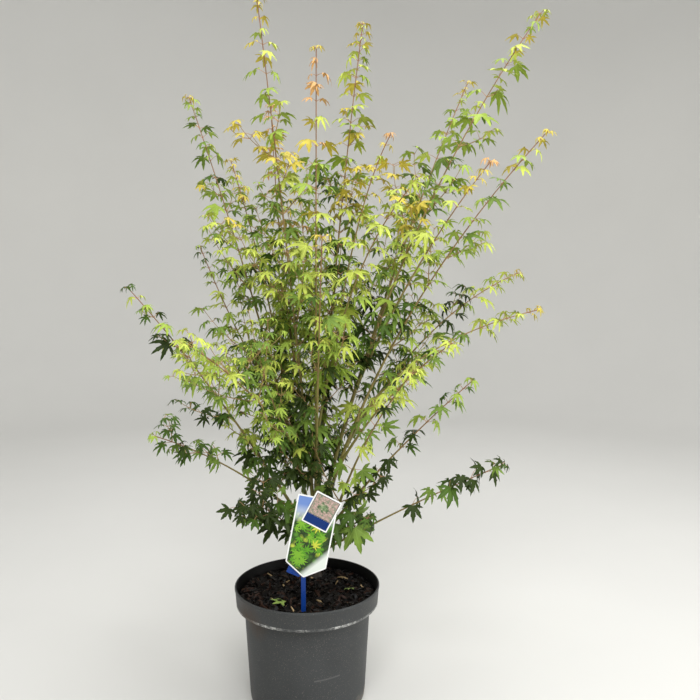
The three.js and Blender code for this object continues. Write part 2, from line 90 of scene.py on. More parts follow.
# One row a stem, in millimetres. Up to `foot` it is as in the construction, and the rest is for the looks.
# It leaves its parent's curve at the fraction `at` and ends at `tip`. Its bend point has made the share
# `drift` of its way out and `rise` of its way up. `foot` is its radius where it starts, `bare` the share of
# its length without leaves, `girth` how far its side twigs reach, `fresh` how much lighter than the rest its
# leaves are, partly as painted light and painted shade (a stem in shade has a low one), `ripest` its last
# tint, `pace` how far apart its leaves sit and `leaf` how large they are.
STEM_KEYS = (
    "name", "parent", "at", "tip", "drift", "rise", "foot",
    "bare", "girth", "fresh", "ripest", "pace", "leaf",
)
STEM_ROWS = (
    ("tall_left", "trunk", 1, (-91, 40, 1335), 0.42, 0.5, 4.6, 0.07, 105, 0.4, 5, 0.9, 1.08),
    ("left_twin", "tall_left", 0.19, (-83, 200, 1175), 0.75, 0.42, 3.8, 0.1, 95, 3.6, 6, 0.82, 0.9),
    ("front_left", "tall_left", 0.14, (-179, -180, 700), 0.45, 0.62, 3.4, 0.04, 105, 0.6, 4, 0.85, 0.8),
    ("centre_left", "trunk", 0.96, (23, -40, 1222), 0.3, 0.45, 4.6, 0.08, 70, 2.2, 6, 1.0, 1.08),
    ("front_centre", "centre_left", 0.17, (38, -200, 880), 0.5, 0.6, 3.4, 0.05, 65, 0.2, 5, 1.3, 0.88),
    ("front_arching", "centre_left", 0.225, (199, -150, 980), 0.3, 0.75, 3, 0.1, 80, 2.2, 4, 1.05, 1.2),
    ("left_outer", "trunk", 0.92, (-281, 330, 1222), 0.4, 0.5, 4.4, 0.08, 105, -1.3, 5, 0.9, 1.1),
    ("left_inner", "left_outer", 0.16, (-176, 250, 1070), 0.35, 0.55, 3.4, 0.06, 95, 1.2, 5, 0.8, 0.85),
    ("left_behind", "left_outer", 0.24, (-252, 280, 885), 0.6, 0.5, 3, 0.06, 90, 0.3, 5, 0.8, 0.85),
    ("left_far", "trunk", 0.8, (-352, 60, 795), 0.5, 0.6, 4.2, 0.16, 80, -2.0, 4, 1.15, 1.0),
    ("left_low", "left_far", 0.1, (-280, -40, 521), 0.5, 0.7, 3, 0.34, 50, -0.8, 3, 1.75, 0.9),
    ("centre_tall", "trunk", 1, (110, 210, 1345), 0.3, 0.5, 4.6, 0.12, 100, 0.7, 5, 0.58, 1.12),
    ("centre_thin", "centre_tall", 0.2, (160, 40, 1085), 0.4, 0.75, 3, 0.14, 80, 1.9, 6, 1, 0.9),
    ("back_centre", "centre_tall", 0.14, (-33, 350, 1015), 0.5, 0.5, 3.4, 0.08, 90, 0.3, 5, 1.15, 1),
    ("right_tall", "trunk", 0.9, (470, 165, 1350), 0.27, 0.55, 5, 0.24, 95, -0.1, 5, 1.05, 1.32),
    ("right_behind", "right_tall", 0.22, (349, 330, 1255), 0.42, 0.5, 3.8, 0.16, 95, 0.3, 5, 0.9, 1),
    ("right_inner", "right_tall", 0.27, (333, -60, 1020), 0.45, 0.6, 3.4, 0.18, 90, 1.6, 6, 1.1, 1),
    ("back_right", "right_tall", 0.17, (226, 340, 935), 0.5, 0.55, 3.4, 0.14, 90, 0.6, 5, 1.15, 1),
    ("right_far", "trunk", 0.82, (450, 10, 1085), 0.25, 0.55, 4.6, 0.24, 115, 0.8, 5, 1, 1.08),
    ("right_reach_back", "right_far", 0.23, (470, 330, 826), 0.4, 0.75, 3.4, 0.16, 95, 1.2, 5, 0.9, 1),
    ("right_reach", "right_far", 0.28, (465, 110, 750), 0.3, 0.75, 3.4, 0.14, 95, 1.6, 5, 1, 0.9),
    ("right_front", "right_far", 0.18, (261, -110, 700), 0.4, 0.6, 3.4, 0.1, 100, 0.8, 4, 0.9, 1),
    ("right_slant", "trunk", 0.72, (312, -20, 622), 0.4, 0.5, 4.2, 0.16, 110, -0.7, 3, 0.95, 0.85),
    ("front_right", "right_slant", 0.14, (184, -210, 660), 0.4, 0.6, 3.4, 0.05, 105, 0.9, 4, 1.05, 0.9),
    ("right_low", "trunk", 0.5, (375, -10, 460), 0.45, 0.52, 3.2, 0.42, 60, -3.4, 2, 0.95, 1),
    ("left_skirt", "trunk", 0.6, (-88, 5, 372), 0.55, 0.7, 2.6, 0, 60, -1.8, 2, 1.1, 1.15),
    ("right_skirt", "trunk", 0.58, (118, 0, 352), 0.55, 0.75, 2.6, 0, 50, -0.8, 2, 1.1, 1.3),
)
# The trunk is a short stool with a ridged flare at its foot.
TRUNK_FOOT = Vector((10, 80, 202)) * MM
TRUNK_BEND = Vector((10, 80, 250)) * MM
TRUNK_TOP = Vector((14, 78, 292)) * MM
TRUNK_RADII = (12 * MM, 8 * MM)
ROOT_FLARE = 6 * MM
ROOT_RIDGES = 4
STEM_TIP_RADIUS = 0.9 * MM
TWIG_TIP_RADIUS = 0.55 * MM
SHOOT_RADIUS = 1.9 * MM
SHOOT_REACH = (0.13, 0.27)
TWIGLET_RADIUS = 0.8 * MM
TWIGLET_REACH_MM = (22, 48)
STALK_RADII = (0.75 * MM, 0.5 * MM, 0.45 * MM)
TAPER = 1.8
# A limb whose foot is thicker than this is a stem, and not a shoot or twig on one.
STEM_FOOT = 2.5 * MM

# Leaf lobes as (angle in degrees, length): the hand's middle finger is 1 long.
FULL_LOBES = ((0, 1), (40, 0.93), (82, 0.72), (125, 0.34))
YOUNG_LOBES = ((0, 1), (46, 0.85), (96, 0.5))
BROAD_LOBES = ((0, 1), (42, 0.92), (88, 0.66))
# The kinds of leaf: full, young and broad, each with its lobes, first seed, curl and breadth.
LEAF_KINDS = ((FULL_LOBES, 1, 1, 1), (YOUNG_LOBES, 21, 1, 1), (BROAD_LOBES, 41, 0.75, 1.35))
LEAF_VARIANTS = 4
# A leaf's size varies by this much, and where its place isn't free it tries these turns, in radians.
LEAF_SPREAD = (0.72, 1.2)
LEAF_TURNS = (0, 0.7, -0.7)
# Over this distance from a stem's tip its leaf pairs come to stand as far apart as low down.
YOUNG_LENGTH = 0.22
# The greens from deep to fresh are partly the leaves' own greens and partly painted shade and painted light:
# deep green is painted shade on inner leaves, dark green partly painted shade on low leaves, fresh green
# painted light on lit leaves. Lime, gold and peach are the colours of young and turning leaves.
TINTS = ("deep", "dark", "mid", "fresh", "lime", "gold", "peach")
LIME, GOLD, PEACH = 4, 5, 6
# Only leaves above this height or at a stem's tip may turn gold, and only those below this size peach.
GOLD_FROM = 0.9
PEACH_SIZE = 0.92

# How far the pot's band widens from its foot to its rim.
BAND_FLARE = 3 * MM
# How far the label's cards and tag are turned in their plane, in radians.
LABEL_TURN = 0.19
SMALL_CARD_TURN = 0.49
TAG_TURN = 0.41
# No leaf or twig ends between these corners, before the label.
LABEL_KEEP_CLEAR = (Vector((-75, -400, 200)) * MM, Vector((95, -60, 462)) * MM)
PRINT_THICKNESS = 0.12 * MM
PLATE_MAP = "plane"


def linear(hex_colour):
    """An sRGB hex colour as linear red, green, blue and alpha."""
    values = [int(hex_colour[i:i + 2], 16) / 255 for i in (1, 3, 5)]
    curved = [v / 12.92 if v <= 0.04045 else ((v + 0.055) / 1.055) ** 2.4 for v in values]
    return (*curved, 1.0)


def colour(name, description, hex_colour):
    return FloatVectorProperty(
        name=name, description=description, subtype="COLOR", size=4, min=0, max=1,
        default=linear(hex_colour),
    )


def length(name, description, millimetres):
    return FloatProperty(
        name=name, description=description, unit="LENGTH", min=0, default=millimetres * MM
    )


class PotSettings(bpy.types.PropertyGroup):
    segments: IntProperty(name="Segments", description="Sides of the round pot", default=144, min=24)
    wall: length("Wall", "Thickness of the moulded wall", 3)
    band: length("Band depth", "Depth of the band under the rim", 37)
    plastic: colour("Plastic", "The pot's grey", "#3c3e3f")
    stain: colour("Stain", "Brown stain under the band", "#46372b")
    dust: colour("Dust", "Dried compost and dust on the plastic", "#7c766c")
    scuff: colour("Scuff", "Rubbed edge under the band", "#b9b9b6")
    # Painted shade inside the rim: the near-black inside stands for the shade in the pot, together with some
    # compost soil.
    inside: colour("Inside", "Inside of the rim, dark with compost", "#070605")


class CompostSettings(bpy.types.PropertyGroup):
    chips: IntProperty(name="Chips", description="Number of dark bark chips", default=1500, min=0)
    chip_length: length("Chip length", "Length of a typical chip", 15)
    roughness: length("Lumps", "Height of the lumps in the surface", 7)
    # Peat and dark bark are near black: partly their own moist dark colour, partly painted shade between the
    # chips.
    peat: colour("Peat", "Moist peat", "#060505")
    bark: colour("Bark chip", "Dark bark chip", "#120e0b")
    rust: colour("Rusty chip", "Reddish bark chip", "#33231c")
    straw: colour("Pale chip", "Dry pale chip", "#b39a74")


class LabelSettings(bpy.types.PropertyGroup):
    border: length("Border", "White border round the print", 2.6)
    plastic: colour("Blue plastic", "Stick and tag", "#123a86")
    band: colour("Print band", "Dark blue of the small card", "#0b2f6e")
    card: colour("Card", "White card", "#f2f3f1")
    sky: colour("Print sky", "Blue at the top of the print", "#6a89c8")
    leaf: colour("Print green", "Green of the print", "#609e28")


class ShrubSettings(bpy.types.PropertyGroup):
    seed: IntProperty(name="Seed", description="Which of many like shrubs is grown", default=11)
    leaf_length: length("Leaf length", "From the stalk to the tip of the middle lobe", 36)
    stalk_length: length("Stalk length", "Length of a full leaf's stalk", 20)
    tip_spacing: length("Tip spacing", "Distance between leaf pairs at a stem's tip", 18)
    low_spacing: length("Low spacing", "Distance between leaf pairs low on a stem", 50)
    twig_spacing: length("Twig spacing", "Distance between leaf pairs on a side twig", 28)
    twiggy: FloatProperty(
        name="Twigs", description="Share of the low nodes' sides that carry a twig", subtype="FACTOR",
        min=0, max=1, default=0.56,
    )
    root_bark: colour("Root bark", "Bark stained by the compost", "#2a2118")
    old_bark: colour("Old bark", "Olive bark near the ground", "#7f7c3e")
    mid_bark: colour("Middle bark", "Brown bark half way up", "#8c7b45")
    young_bark: colour("Young bark", "Reddish bark near the tips", "#98694f")
    twig: colour("Twig", "Thin side twigs", "#a5895a")
    stalk: colour("Stalk", "Leaf stalks", "#b98d66")
    # Painted shade: the deep green stands for inner leaves in shade.
    deep: colour("Deep green", "Shaded inner leaves", "#2f3e14")
    # Partly painted shade: the low leaves lie in the shrub's shade.
    dark: colour("Dark green", "Low leaves", "#455f20")
    mid: colour("Middle green", "Leaves of the middle", "#6f8938")
    # Painted light: the fresh green stands for leaves in the light.
    fresh: colour("Fresh green", "Leaves in the light", "#98af48")
    lime: colour("Lime", "Young sprays", "#bac757")
    gold: colour("Gold", "Leaves near the tips", "#c7b74b")
    peach: colour("Peach", "Leaves just opened", "#d2a56c")


class StageSettings(bpy.types.PropertyGroup):
    floor: colour("Floor", "Pale floor and backdrop", "#dddcd8")
    sky: colour("Room light", "Light from all round", "#f4f6f8")
    key_power: FloatProperty(
        name="Key light", description="Power of the soft light", default=70, unit="POWER"
    )


def feed(tree, node, inputs):
    """Sets inputs; each is a value, the socket that feeds it, or a node whose first output does."""
    for key, value in inputs.items():
        if isinstance(value, bpy.types.Node):
            value = next(socket for socket in value.outputs if socket.enabled)
        if isinstance(value, bpy.types.NodeSocket):
            tree.links.new(value, node.inputs[key])
        else:
            node.inputs[key].default_value = value


def add(tree, kind, inputs=None, stops=(), **settings):
    """Adds a node; a colour ramp's stops are (position, tone), and a tone is a colour or a grey."""
    node = tree.nodes.new(kind)
    for key, value in settings.items():
        setattr(node, key, value)
    if stops:
        elements = node.color_ramp.elements
        while len(elements) < len(stops):
            elements.new(0.5)
        for element, (position, tone) in zip(elements, stops):
            element.position = position
            element.color = (tone, tone, tone, 1.0) if isinstance(tone, (int, float)) else tone
    feed(tree, node, inputs or {})
    return node


def new_material(name, uv_map=""):
    """A material, its node tree and what its patterns read: Object coordinates or the named map."""
    material = bpy.data.materials.new(name)
    material.use_nodes = True
    tree = material.node_tree
    if uv_map:
        return material, tree, add(tree, "ShaderNodeUVMap", uv_map=uv_map).outputs["UV"]
    return material, tree, add(tree, "ShaderNodeTexCoord").outputs["Object"]


def painted(material, **inputs):
    """Sets the inputs of a material's shader, and returns the finished material."""
    tree = material.node_tree
    sockets = {key.replace("_", " "): value for key, value in inputs.items()}
    feed(tree, tree.nodes["Principled BSDF"], sockets)
    return material


def coated(tree, base, coats, blend="MIX"):
    """Lays coats over a base; a coat is the mask of where it lies and its colour."""
    for mask, tone in coats:
        base = add(
            tree, "ShaderNodeMix", {0: mask, 6: base, 7: tone}, data_type="RGBA", blend_type=blend
        )
    return base


def all_of(tree, mask, *others):
    """The mask of where all of these masks hold."""
    for other in others:
        mask = add(tree, "ShaderNodeMath", {0: mask, 1: other}, operation="MULTIPLY")
    return mask


def per_mm(millimetres):
    """The noise scale whose features are about that size on coordinates in metres."""
    return 1 / (millimetres * MM)


def part_way(value, start, end):
    """How far a value has come from one limit to the other, from 0 to 1."""
    return max(0, min(1, (value - start) / (end - start)))


def close_to(value, middle, outer, inner):
    """1 where a value is within `inner` of a middle, falling to 0 where it is `outer` away."""
    return part_way(abs(value - middle), outer, inner)


def shade(tone, factor):
    return (tone[0] * factor, tone[1] * factor, tone[2] * factor, 1.0)


def shades(tone, low, high):
    """The ramp stops of a mottled tone, from its darker to its lighter shade."""
    return ((0.3, shade(tone, low)), (0.7, shade(tone, high)))


def mesh_of(name, points, faces, edges=()):
    mesh = bpy.data.meshes.new(name)
    mesh.from_pydata(points, edges, faces)
    mesh.update()
    return mesh


def mark(mesh, name, values, kind="FLOAT"):
    """Gives each point of a mesh its own value of a named attribute."""
    layer = mesh.attributes.new(name, kind, "POINT")
    layer.data.foreach_set("vector" if kind == "FLOAT_VECTOR" else "value", values)


def loose_object(name, mesh, material, smooth=True):
    """An object that isn't in the scene, such as a shape to be scattered."""
    for polygon in mesh.polygons:
        polygon.use_smooth = smooth
    mesh.materials.clear()
    mesh.materials.append(material)
    return bpy.data.objects.new(name, mesh)


def new_object(name, mesh, material, smooth=True):
    piece = loose_object(name, mesh, material, smooth)
    bpy.context.scene.collection.objects.link(piece)
    return piece


def mesh_from(build, name):
    """A mesh of a finished bmesh, which is freed."""
    mesh = bpy.data.meshes.new(name)
    build.to_mesh(mesh)
    build.free()
    return mesh


def baked(piece):
    """The piece with its modifiers applied, as a plain mesh."""
    graph = bpy.context.evaluated_depsgraph_get()
    mesh = bpy.data.meshes.new_from_object(piece.evaluated_get(graph))
    piece.modifiers.clear()
    piece.data = mesh
    return piece


def keep(piece, replaced=()):
    """Fixes a finished piece to the plant's only body."""
    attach(piece, "root")
    if replaced:
        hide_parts(*replaced)


def lathe(profile, segments):
    """Points and faces of a closed round body; its profile starts and ends on the axis."""
    points = [(0, 0, profile[0][1])]
    for radius, height in profile[1:-1]:
        for i in range(segments):
            turn = FULL_TURN * i / segments
            points.append((radius * math.cos(turn), radius * math.sin(turn), height))
    points.append((0, 0, profile[-1][1]))
    rings = len(profile) - 2
    faces = []
    for i in range(segments):
        after = (i + 1) % segments
        faces.append((0, 1 + after, 1 + i))
        for ring in range(rings - 1):
            low, high = 1 + ring * segments, 1 + (ring + 1) * segments
            faces.append((low + i, low + after, high + after, high + i))
        top = 1 + (rings - 1) * segments
        faces.append((top + i, top + after, len(points) - 1))
    return points, faces


def rounded(corners, radius, steps=4):
    """An outline with each corner rounded, in the corners' plane."""
    outline = []
    count = len(corners)
    for i, corner in enumerate(corners):
        here = Vector(corner)
        before = (Vector(corners[i - 1]) - here).normalized()
        after = (Vector(corners[(i + 1) % count]) - here).normalized()
        for step in range(steps + 1):
            t = step / steps
            outline.append(here + before * radius * (1 - t) ** 2 + after * radius * t ** 2)
    return outline


def box_outline(left, bottom, right, top):
    return [(left, bottom), (right, bottom), (right, top), (left, top)]


class Limb:
    """A stem or twig along a curve that bends once, with a radius that tapers fastest low down."""

    def __init__(self, start, bend, tip, foot, end, row=None):
        self.start, self.bend, self.tip = start, bend, tip
        self.foot, self.end = foot, end
        self.row = row
        count = 100
        points = [self.point(i / count) for i in range(count + 1)]
        self.lengths = [0]
        for first, second in zip(points, points[1:]):
            self.lengths.append(self.lengths[-1] + (second - first).length)
        self.length = self.lengths[-1]

    def point(self, t):
        return self.start * (1 - t) ** 2 + self.bend * 2 * t * (1 - t) + self.tip * t ** 2

    def along(self, t):
        way = (self.bend - self.start) * (1 - t) + (self.tip - self.bend) * t
        return way.normalized()

    def radius(self, t):
        return self.end + (self.foot - self.end) * (1 - t) ** TAPER

    def fraction(self, distance):
        """The curve's fraction at a distance along it."""
        count = len(self.lengths) - 1
        for i in range(count):
            if self.lengths[i + 1] >= distance:
                span = self.lengths[i + 1] - self.lengths[i]
                return (i + (distance - self.lengths[i]) / span) / count
        return 1

    def sides(self, t):
        """Two directions square to the limb: out of the plane it bends in, and in it."""
        along = self.along(t)
        side = (self.bend - self.start).cross(self.tip - self.start)
        if side.length < 1e-3 * (self.tip - self.start).length_squared:
            side = along.cross(Vector((1, 0, 0)) if abs(along.z) > 0.9 else UP)
        side = (side - along * side.dot(along)).normalized()
        return side, along.cross(side)


def grow_stems():
    """The trunk, and every stem's limb by name, by the rule of the construction."""
    trunk = Limb(TRUNK_FOOT, TRUNK_BEND, TRUNK_TOP, *TRUNK_RADII)
    grown = {"trunk": trunk}
    for values in STEM_ROWS:
        row = dict(zip(STEM_KEYS, values))
        start = grown[row["parent"]].point(row["at"])
        tip = Vector(row["tip"]) * MM
        way = tip - start
        bend = start + Vector((way.x * row["drift"], way.y * row["drift"], way.z * row["rise"]))
        grown[row["name"]] = Limb(start, bend, tip, row["foot"] * MM, STEM_TIP_RADIUS, row)
    del grown["trunk"]
    return trunk, grown


def sheltered(place):
    """How deep a place is in the thick of the shrub, low and to the left, from 0 to 1."""
    height = part_way(place.z, 0.74, 0.56) * part_way(place.z, 0.26, 0.38)
    return height * close_to(place.x, -0.12, 0.2, 0.12)


def airy(place):
    """How far a place lies in the open heart of the shrub, above the label, from 0 to 1."""
    return close_to(place.x, 0.07, 0.13, 0.07) * close_to(place.z, 0.58, 0.15, 0.09)


def stem_nodes(limb, settings):
    """The distances along a stem at which leaves grow, from its tip down."""
    places = []
    from_tip = 2 * MM
    bare = limb.row["bare"] * limb.length + 30 * MM
    while limb.length - from_tip > bare:
        places.append(limb.length - from_tip)
        grown_in = min(1, from_tip / YOUNG_LENGTH)
        pace = settings.tip_spacing + (settings.low_spacing - settings.tip_spacing) * grown_in
        place = limb.point(limb.fraction(limb.length - from_tip))
        pace *= limb.row["pace"] * (1 - 0.25 * sheltered(place) + 0.3 * airy(place))
        # The sine makes the spacing uneven without a random draw.
        from_tip += pace * (1 + 0.22 * math.sin(7.7 * len(places) + 40 * limb.length))
    return places


class Tubes:
    """Gathers round limbs as one mesh, with each point's share of the way to its limb's tip."""

    def __init__(self):
        self.points, self.faces, self.ages = [], [], []

    def add(self, limb, sides, pace, relief):
        """Adds a limb; its relief is how far its surface stands out at a place and an angle round it."""
        rings = max(3, int(limb.length / pace))
        base = len(self.points)
        for ring in range(rings + 1):
            distance = limb.length * ring / rings
            t = limb.fraction(distance)
            centre = limb.point(t)
            side, front = limb.sides(t)
            for i in range(sides):
                angle = FULL_TURN * i / sides
                reach = limb.radius(t) + relief(t, distance, angle)
                self.points.append(centre + (front * math.cos(angle) + side * math.sin(angle)) * reach)
                self.ages.append(t)
        for ring in range(rings):
            low, high = base + ring * sides, base + (ring + 1) * sides
            for i in range(sides):
                after = (i + 1) % sides
                self.faces.append((low + i, low + after, high + after, high + i))
        self.faces.append(tuple(base + i for i in reversed(range(sides))))
        self.faces.append(tuple(base + rings * sides + i for i in range(sides)))


def bark_material(settings):
    """Young maple bark: smooth and thin, olive below, red-brown above, with a waxy sheen."""
    material, tree, place = new_material("smooth maple bark")
    age = add(tree, "ShaderNodeAttribute", attribute_name="age").outputs["Fac"]
    blotch = add(tree, "ShaderNodeTexNoise", {"Vector": place, "Scale": per_mm(22), "Detail": 3})
    shift = add(tree, "ShaderNodeMath", {0: blotch, 1: 0.35, 2: -0.17}, operation="MULTIPLY_ADD")
    drawn = add(tree, "ShaderNodeMath", {0: age, 1: shift}, operation="ADD", use_clamp=True)
    ages = ((0.0, settings.old_bark), (0.5, settings.mid_bark), (1.0, settings.young_bark))
    bark = add(tree, "ShaderNodeValToRGB", {0: drawn}, ages)
    height = add(tree, "ShaderNodeSeparateXYZ", {"Vector": place}).outputs["Z"]
    above = add(tree, "ShaderNodeMapRange", {"Value": height, "From Min": 0.22, "From Max": 0.28})
    tone = coated(tree, settings.root_bark, [(above, bark)])
    # Real bark is finer: the grain is drawn as coarse as it needs to show.
    stretch = add(tree, "ShaderNodeMapping", {"Vector": place, "Scale": (1, 1, 0.25)})
    grain = add(tree, "ShaderNodeTexNoise", {"Vector": stretch, "Scale": per_mm(2), "Detail": 2})
    streaks = add(tree, "ShaderNodeValToRGB", {0: grain}, ((0.35, 0.7), (0.6, 1)))
    tone = coated(tree, tone, [(0.6, streaks)], "MULTIPLY")
    bump = add(tree, "ShaderNodeBump", {"Height": grain, "Strength": 0.35, "Distance": 0.4 * MM})
    return painted(material, Base_Color=tone, Normal=bump, Roughness=0.5, IOR=1.45)


class MAPLE_OT_stems(bpy.types.Operator):
    """Trunk and stems with swollen nodes and fine ridges in the bark"""

    bl_idname = "maple.stems"
    bl_label = "Build Stems"

    def execute(self, context):
        settings = context.scene.maple_shrub
        trunk, grown = grow_stems()
        tubes = Tubes()

        def trunk_relief(t, distance, angle):
            flare = ROOT_FLARE * math.exp(-6 * t) * (1 + 0.35 * math.cos(ROOT_RIDGES * angle))
            lump_length = 12 * MM
            spot = Vector((math.cos(angle) * 3, math.sin(angle) * 3, distance / lump_length))
            return flare + 0.9 * MM * noise.noise(spot) + 0.3 * MM * noise.noise(spot * 3.1)

        tubes.add(trunk, 48, 2 * MM, trunk_relief)
        collar_length, joint_length, lump_length = 9 * MM, 2.6 * MM, 9 * MM
        for index, limb in enumerate(grown.values()):
            nodes = stem_nodes(limb, settings)
            offset = 10 * (1 + index)

            def stem_relief(t, distance, angle):
                collar = 0.6 * math.exp(-distance / collar_length)
                joint = sum(math.exp(-((distance - place) / joint_length) ** 2) for place in nodes)
                across, deep = math.cos(angle) * 1.2 + offset, math.sin(angle) * 1.2
                lump = noise.noise(Vector((across, deep, distance / lump_length)))
                ridge = 0.035 * math.cos(5 * angle + distance * 30)
                return limb.radius(t) * (collar + 0.22 * joint + 0.1 * lump + ridge)

            main_stem = limb.foot > 4.2 * MM
            tubes.add(limb, 12 if main_stem else 10, 5 * MM, stem_relief)
        mesh = mesh_of("stems", tubes.points, tubes.faces)
        mark(mesh, "age", tubes.ages)
        piece = new_object("stems", mesh, bark_material(settings))
        boughs = [f"bough_{name}" for name, limb in grown.items() if limb.row["bare"] > 0]
        keep(piece, ["trunk"] + boughs)
        return {"FINISHED"}


class Foliage:
    """Grows side twigs, stalks and leaves on the stems, node by node from each tip down."""

    def __init__(self, settings):
        self.settings = settings
        self.twigs, self.stalks, self.leaves = [], [], []
        low, high = cad_box
        room = Vector((4, 4, 2)) * MM
        self.low, self.high = Vector(low) - room, Vector(high) + room

    def free(self, place):
        """Whether a leaf may reach this place: within the plant's reach, and not before the label."""
        inside = all(l <= p <= h for l, p, h in zip(self.low, place, self.high))
        near, far = LABEL_KEEP_CLEAR
        before_label = all(n <= p <= f for n, p, f in zip(near, place, far))
        return inside and not before_label

    def add_leaf(self, foot, out, size, tint, rand, droop=(-0.2, 0.5), young=False):
        """One leaf with its stalk, turned a little where its place isn't free."""
        grown = size * rand.uniform(*LEAF_SPREAD)
        stalk = self.settings.stalk_length
        blade = self.settings.leaf_length
        for turn in LEAF_TURNS:
            way = Quaternion(UP, turn) @ out
            level = Vector((way.x, way.y, way.z * 0.35)).normalized()
            stalk_way = (level + UP * rand.uniform(0.15, 0.6)).normalized()
            hub = foot + stalk_way * stalk * grown
            angle = rand.uniform(*droop) + 0.4 * part_way(foot.z, 0.55, 0.4)
            flat = Vector((level.x, level.y, 0)).normalized()
            axis = flat * math.cos(angle) - UP * math.sin(angle)
            if self.free(hub) and self.free(hub + axis * blade * grown):
                break
        else:
            return
        ahead = -1 if foot.y < TRUNK_FOOT.y else 1
        lean = 0.15 + 0.85 * part_way(foot.z, 0.62, 0.4)
        side = axis.cross(UP + Vector((0, ahead * lean, 0))).normalized()
        side = Quaternion(axis, rand.gauss(0, 0.3)) @ side
        turn = Matrix((side, axis, side.cross(axis))).transposed()
        middle = foot.lerp(hub, 0.5) + UP * 0.06 * stalk * grown
        self.stalks.append(((foot, middle, hub), STALK_RADII))
        broad_share = max(part_way(foot.z, 0.55, 0.38), 0.75 * part_way(foot.z, 0.85, 1.0))
        broad = rand.random() < broad_share
        kind = 1 if young else 2 if broad else 0
        shape = rand.randrange(LEAF_VARIANTS) + LEAF_VARIANTS * kind
        self.leaves.append((hub, turn.to_euler(), blade * grown, shape, tint))

    def tint(self, limb, place, from_tip, rand):
        """Which tint a spray takes: lighter with height and towards the stem's tip, with painted light at the
        front and painted shade low on the left and in the shrub's middle.
        """
        height = part_way(place.z, 0.35, 1.05)
        at_tip = math.exp(-from_tip / 0.07)
        near_tip = part_way(from_tip, 0.45, 0)
        front = part_way(-place.y, 0, 0.15)
        low, left = part_way(place.z, 0.47, 0.38), part_way(place.x, -0.03, -0.08)
        heart = close_to(place.x, 0.08, 0.16, 0.08) * close_to(place.z, 0.66, 0.2, 0.1)
        upper_left = part_way(place.x, 0.0, -0.06) * part_way(place.z, 0.5, 0.6)
        low_right = part_way(place.x, -0.08, 0.0) * part_way(place.z, 0.7, 0.5)
        score = 1.5 + 1.4 * height + (0.6 + height) * at_tip
        # Painted light and shade: the stem's own lightness, which is partly painted, and painted light on
        # sprays at the front.
        score += limb.row["fresh"] * (0.35 + 0.65 * near_tip) + 0.4 * front + 0.4 * upper_left
        # Painted shade: sprays low on the left and in the shrub's middle are darker.
        score -= (0.1 + 2.1 * left) * low + 0.7 * heart
        uneven = 1.3 + 0.4 * low_right - 0.7 * part_way(place.z, 0.9, 1.1)
        return score + rand.gauss(0, uneven)

    def add_pair(self, place, limb, t, turn, size, score, rand, ways=(0, HALF_TURN), **kind):
        """Opposite leaves at one node."""
        side, front = limb.sides(t)
        along = limb.along(t)
        at_tip = t > 0.93 and limb.foot > STEM_FOOT
        limit = LIME
        if place.z > GOLD_FROM or at_tip:
            limit = GOLD if size > PEACH_SIZE else PEACH
        limit = min(limb.row["ripest"], limit)
        for way in ways:
            direction = front * math.cos(turn + way) + side * math.sin(turn + way)
            out = (direction + along * 0.35).normalized()
            out = Quaternion(UP, rand.uniform(-0.4, 0.4)) @ out
            foot = place + direction * limb.radius(t) * 0.6
            tint = max(0, min(limit, round(score + rand.gauss(0, 0.2))))
            self.add_leaf(foot, out, size * limb.row["leaf"], tint, rand, **kind)

    def string_up(self, limb, place, bend, tip, thick, count):
        """A twig's curve, kept as wood, with the row of the stem that it grows on."""
        twig = Limb(place, bend, tip, thick, TWIG_TIP_RADIUS, limb.row)
        shares = [i / count for i in range(count + 1)]
        self.twigs.append(([twig.point(t) for t in shares], [twig.radius(t) for t in shares]))
        return twig

    def add_shoot(self, limb, t, rand):
        """A thin upright shoot that rises beside its stem, with small leaves close together."""
        place = limb.point(t)
        lean = Vector((rand.gauss(0, 0.3), rand.gauss(0, 0.3), 0))
        way = (UP + limb.along(t) * 0.6 + lean * 0.6).normalized()
        reach = rand.uniform(*SHOOT_REACH)
        tip = place + way * reach
        if not self.free(tip):
            return
        bend = place + (way * 0.7 + lean * 0.5) * reach * 0.6
        shoot = self.string_up(limb, place, bend, tip, SHOOT_RADIUS, 12)
        from_tip = 2 * MM
        count = 0
        while from_tip < 0.85 * shoot.length:
            at = shoot.fraction(shoot.length - from_tip)
            spot = shoot.point(at)
            grown_in = part_way(from_tip, 0, 0.12)
            score = self.tint(limb, spot, from_tip + 0.06, rand)
            size = 0.5 + 0.4 * grown_in
            self.add_pair(spot, shoot, at, count * QUARTER_TURN, size, score, rand, young=grown_in < 0.3)
            from_tip += rand.uniform(19, 24 + 16 * grown_in) * MM
            count += 1

    def add_twig(self, limb, place, t, turn, reach, score, rand, depth=0):
        """A side twig that lifts towards its end and may carry shorter twigs of its own."""
        side, front = limb.sides(t)
        angle = turn + rand.uniform(-0.35, 0.35)
        out = front * math.cos(angle) + side * math.sin(angle)
        way = (out + limb.along(t) * rand.uniform(0.6, 1.5) + UP * 0.2).normalized()
        bend = place + (way + out * 0.25) * reach * 0.5
        tip = place + way * reach + UP * reach * 0.12
        if not self.free(tip):
            return
        thick = (1.0 + 4 * reach) * MM if depth == 0 else TWIGLET_RADIUS
        twig = self.string_up(limb, place, bend, tip, thick, 8 if depth == 0 else 4)
        pairs = max(1, round(twig.length / self.settings.twig_spacing))
        for i in range(1, pairs + 1):
            at = twig.fraction(twig.length * i / pairs * 0.98)
            spot = twig.point(at)
            turned = (i % 2) * QUARTER_TURN
            end = i / pairs
            size = 0.86 - 0.26 * end
            self.add_pair(spot, twig, at, turned, size, score + 0.9 * end ** 2, rand)
            if depth == 0 and i < pairs and rand.random() < 0.4:
                way = turned + rand.choice((0, HALF_TURN))
                shorter = rand.uniform(*TWIGLET_REACH_MM) * MM
                self.add_twig(twig, spot, at, way, shorter, score, rand, 1)

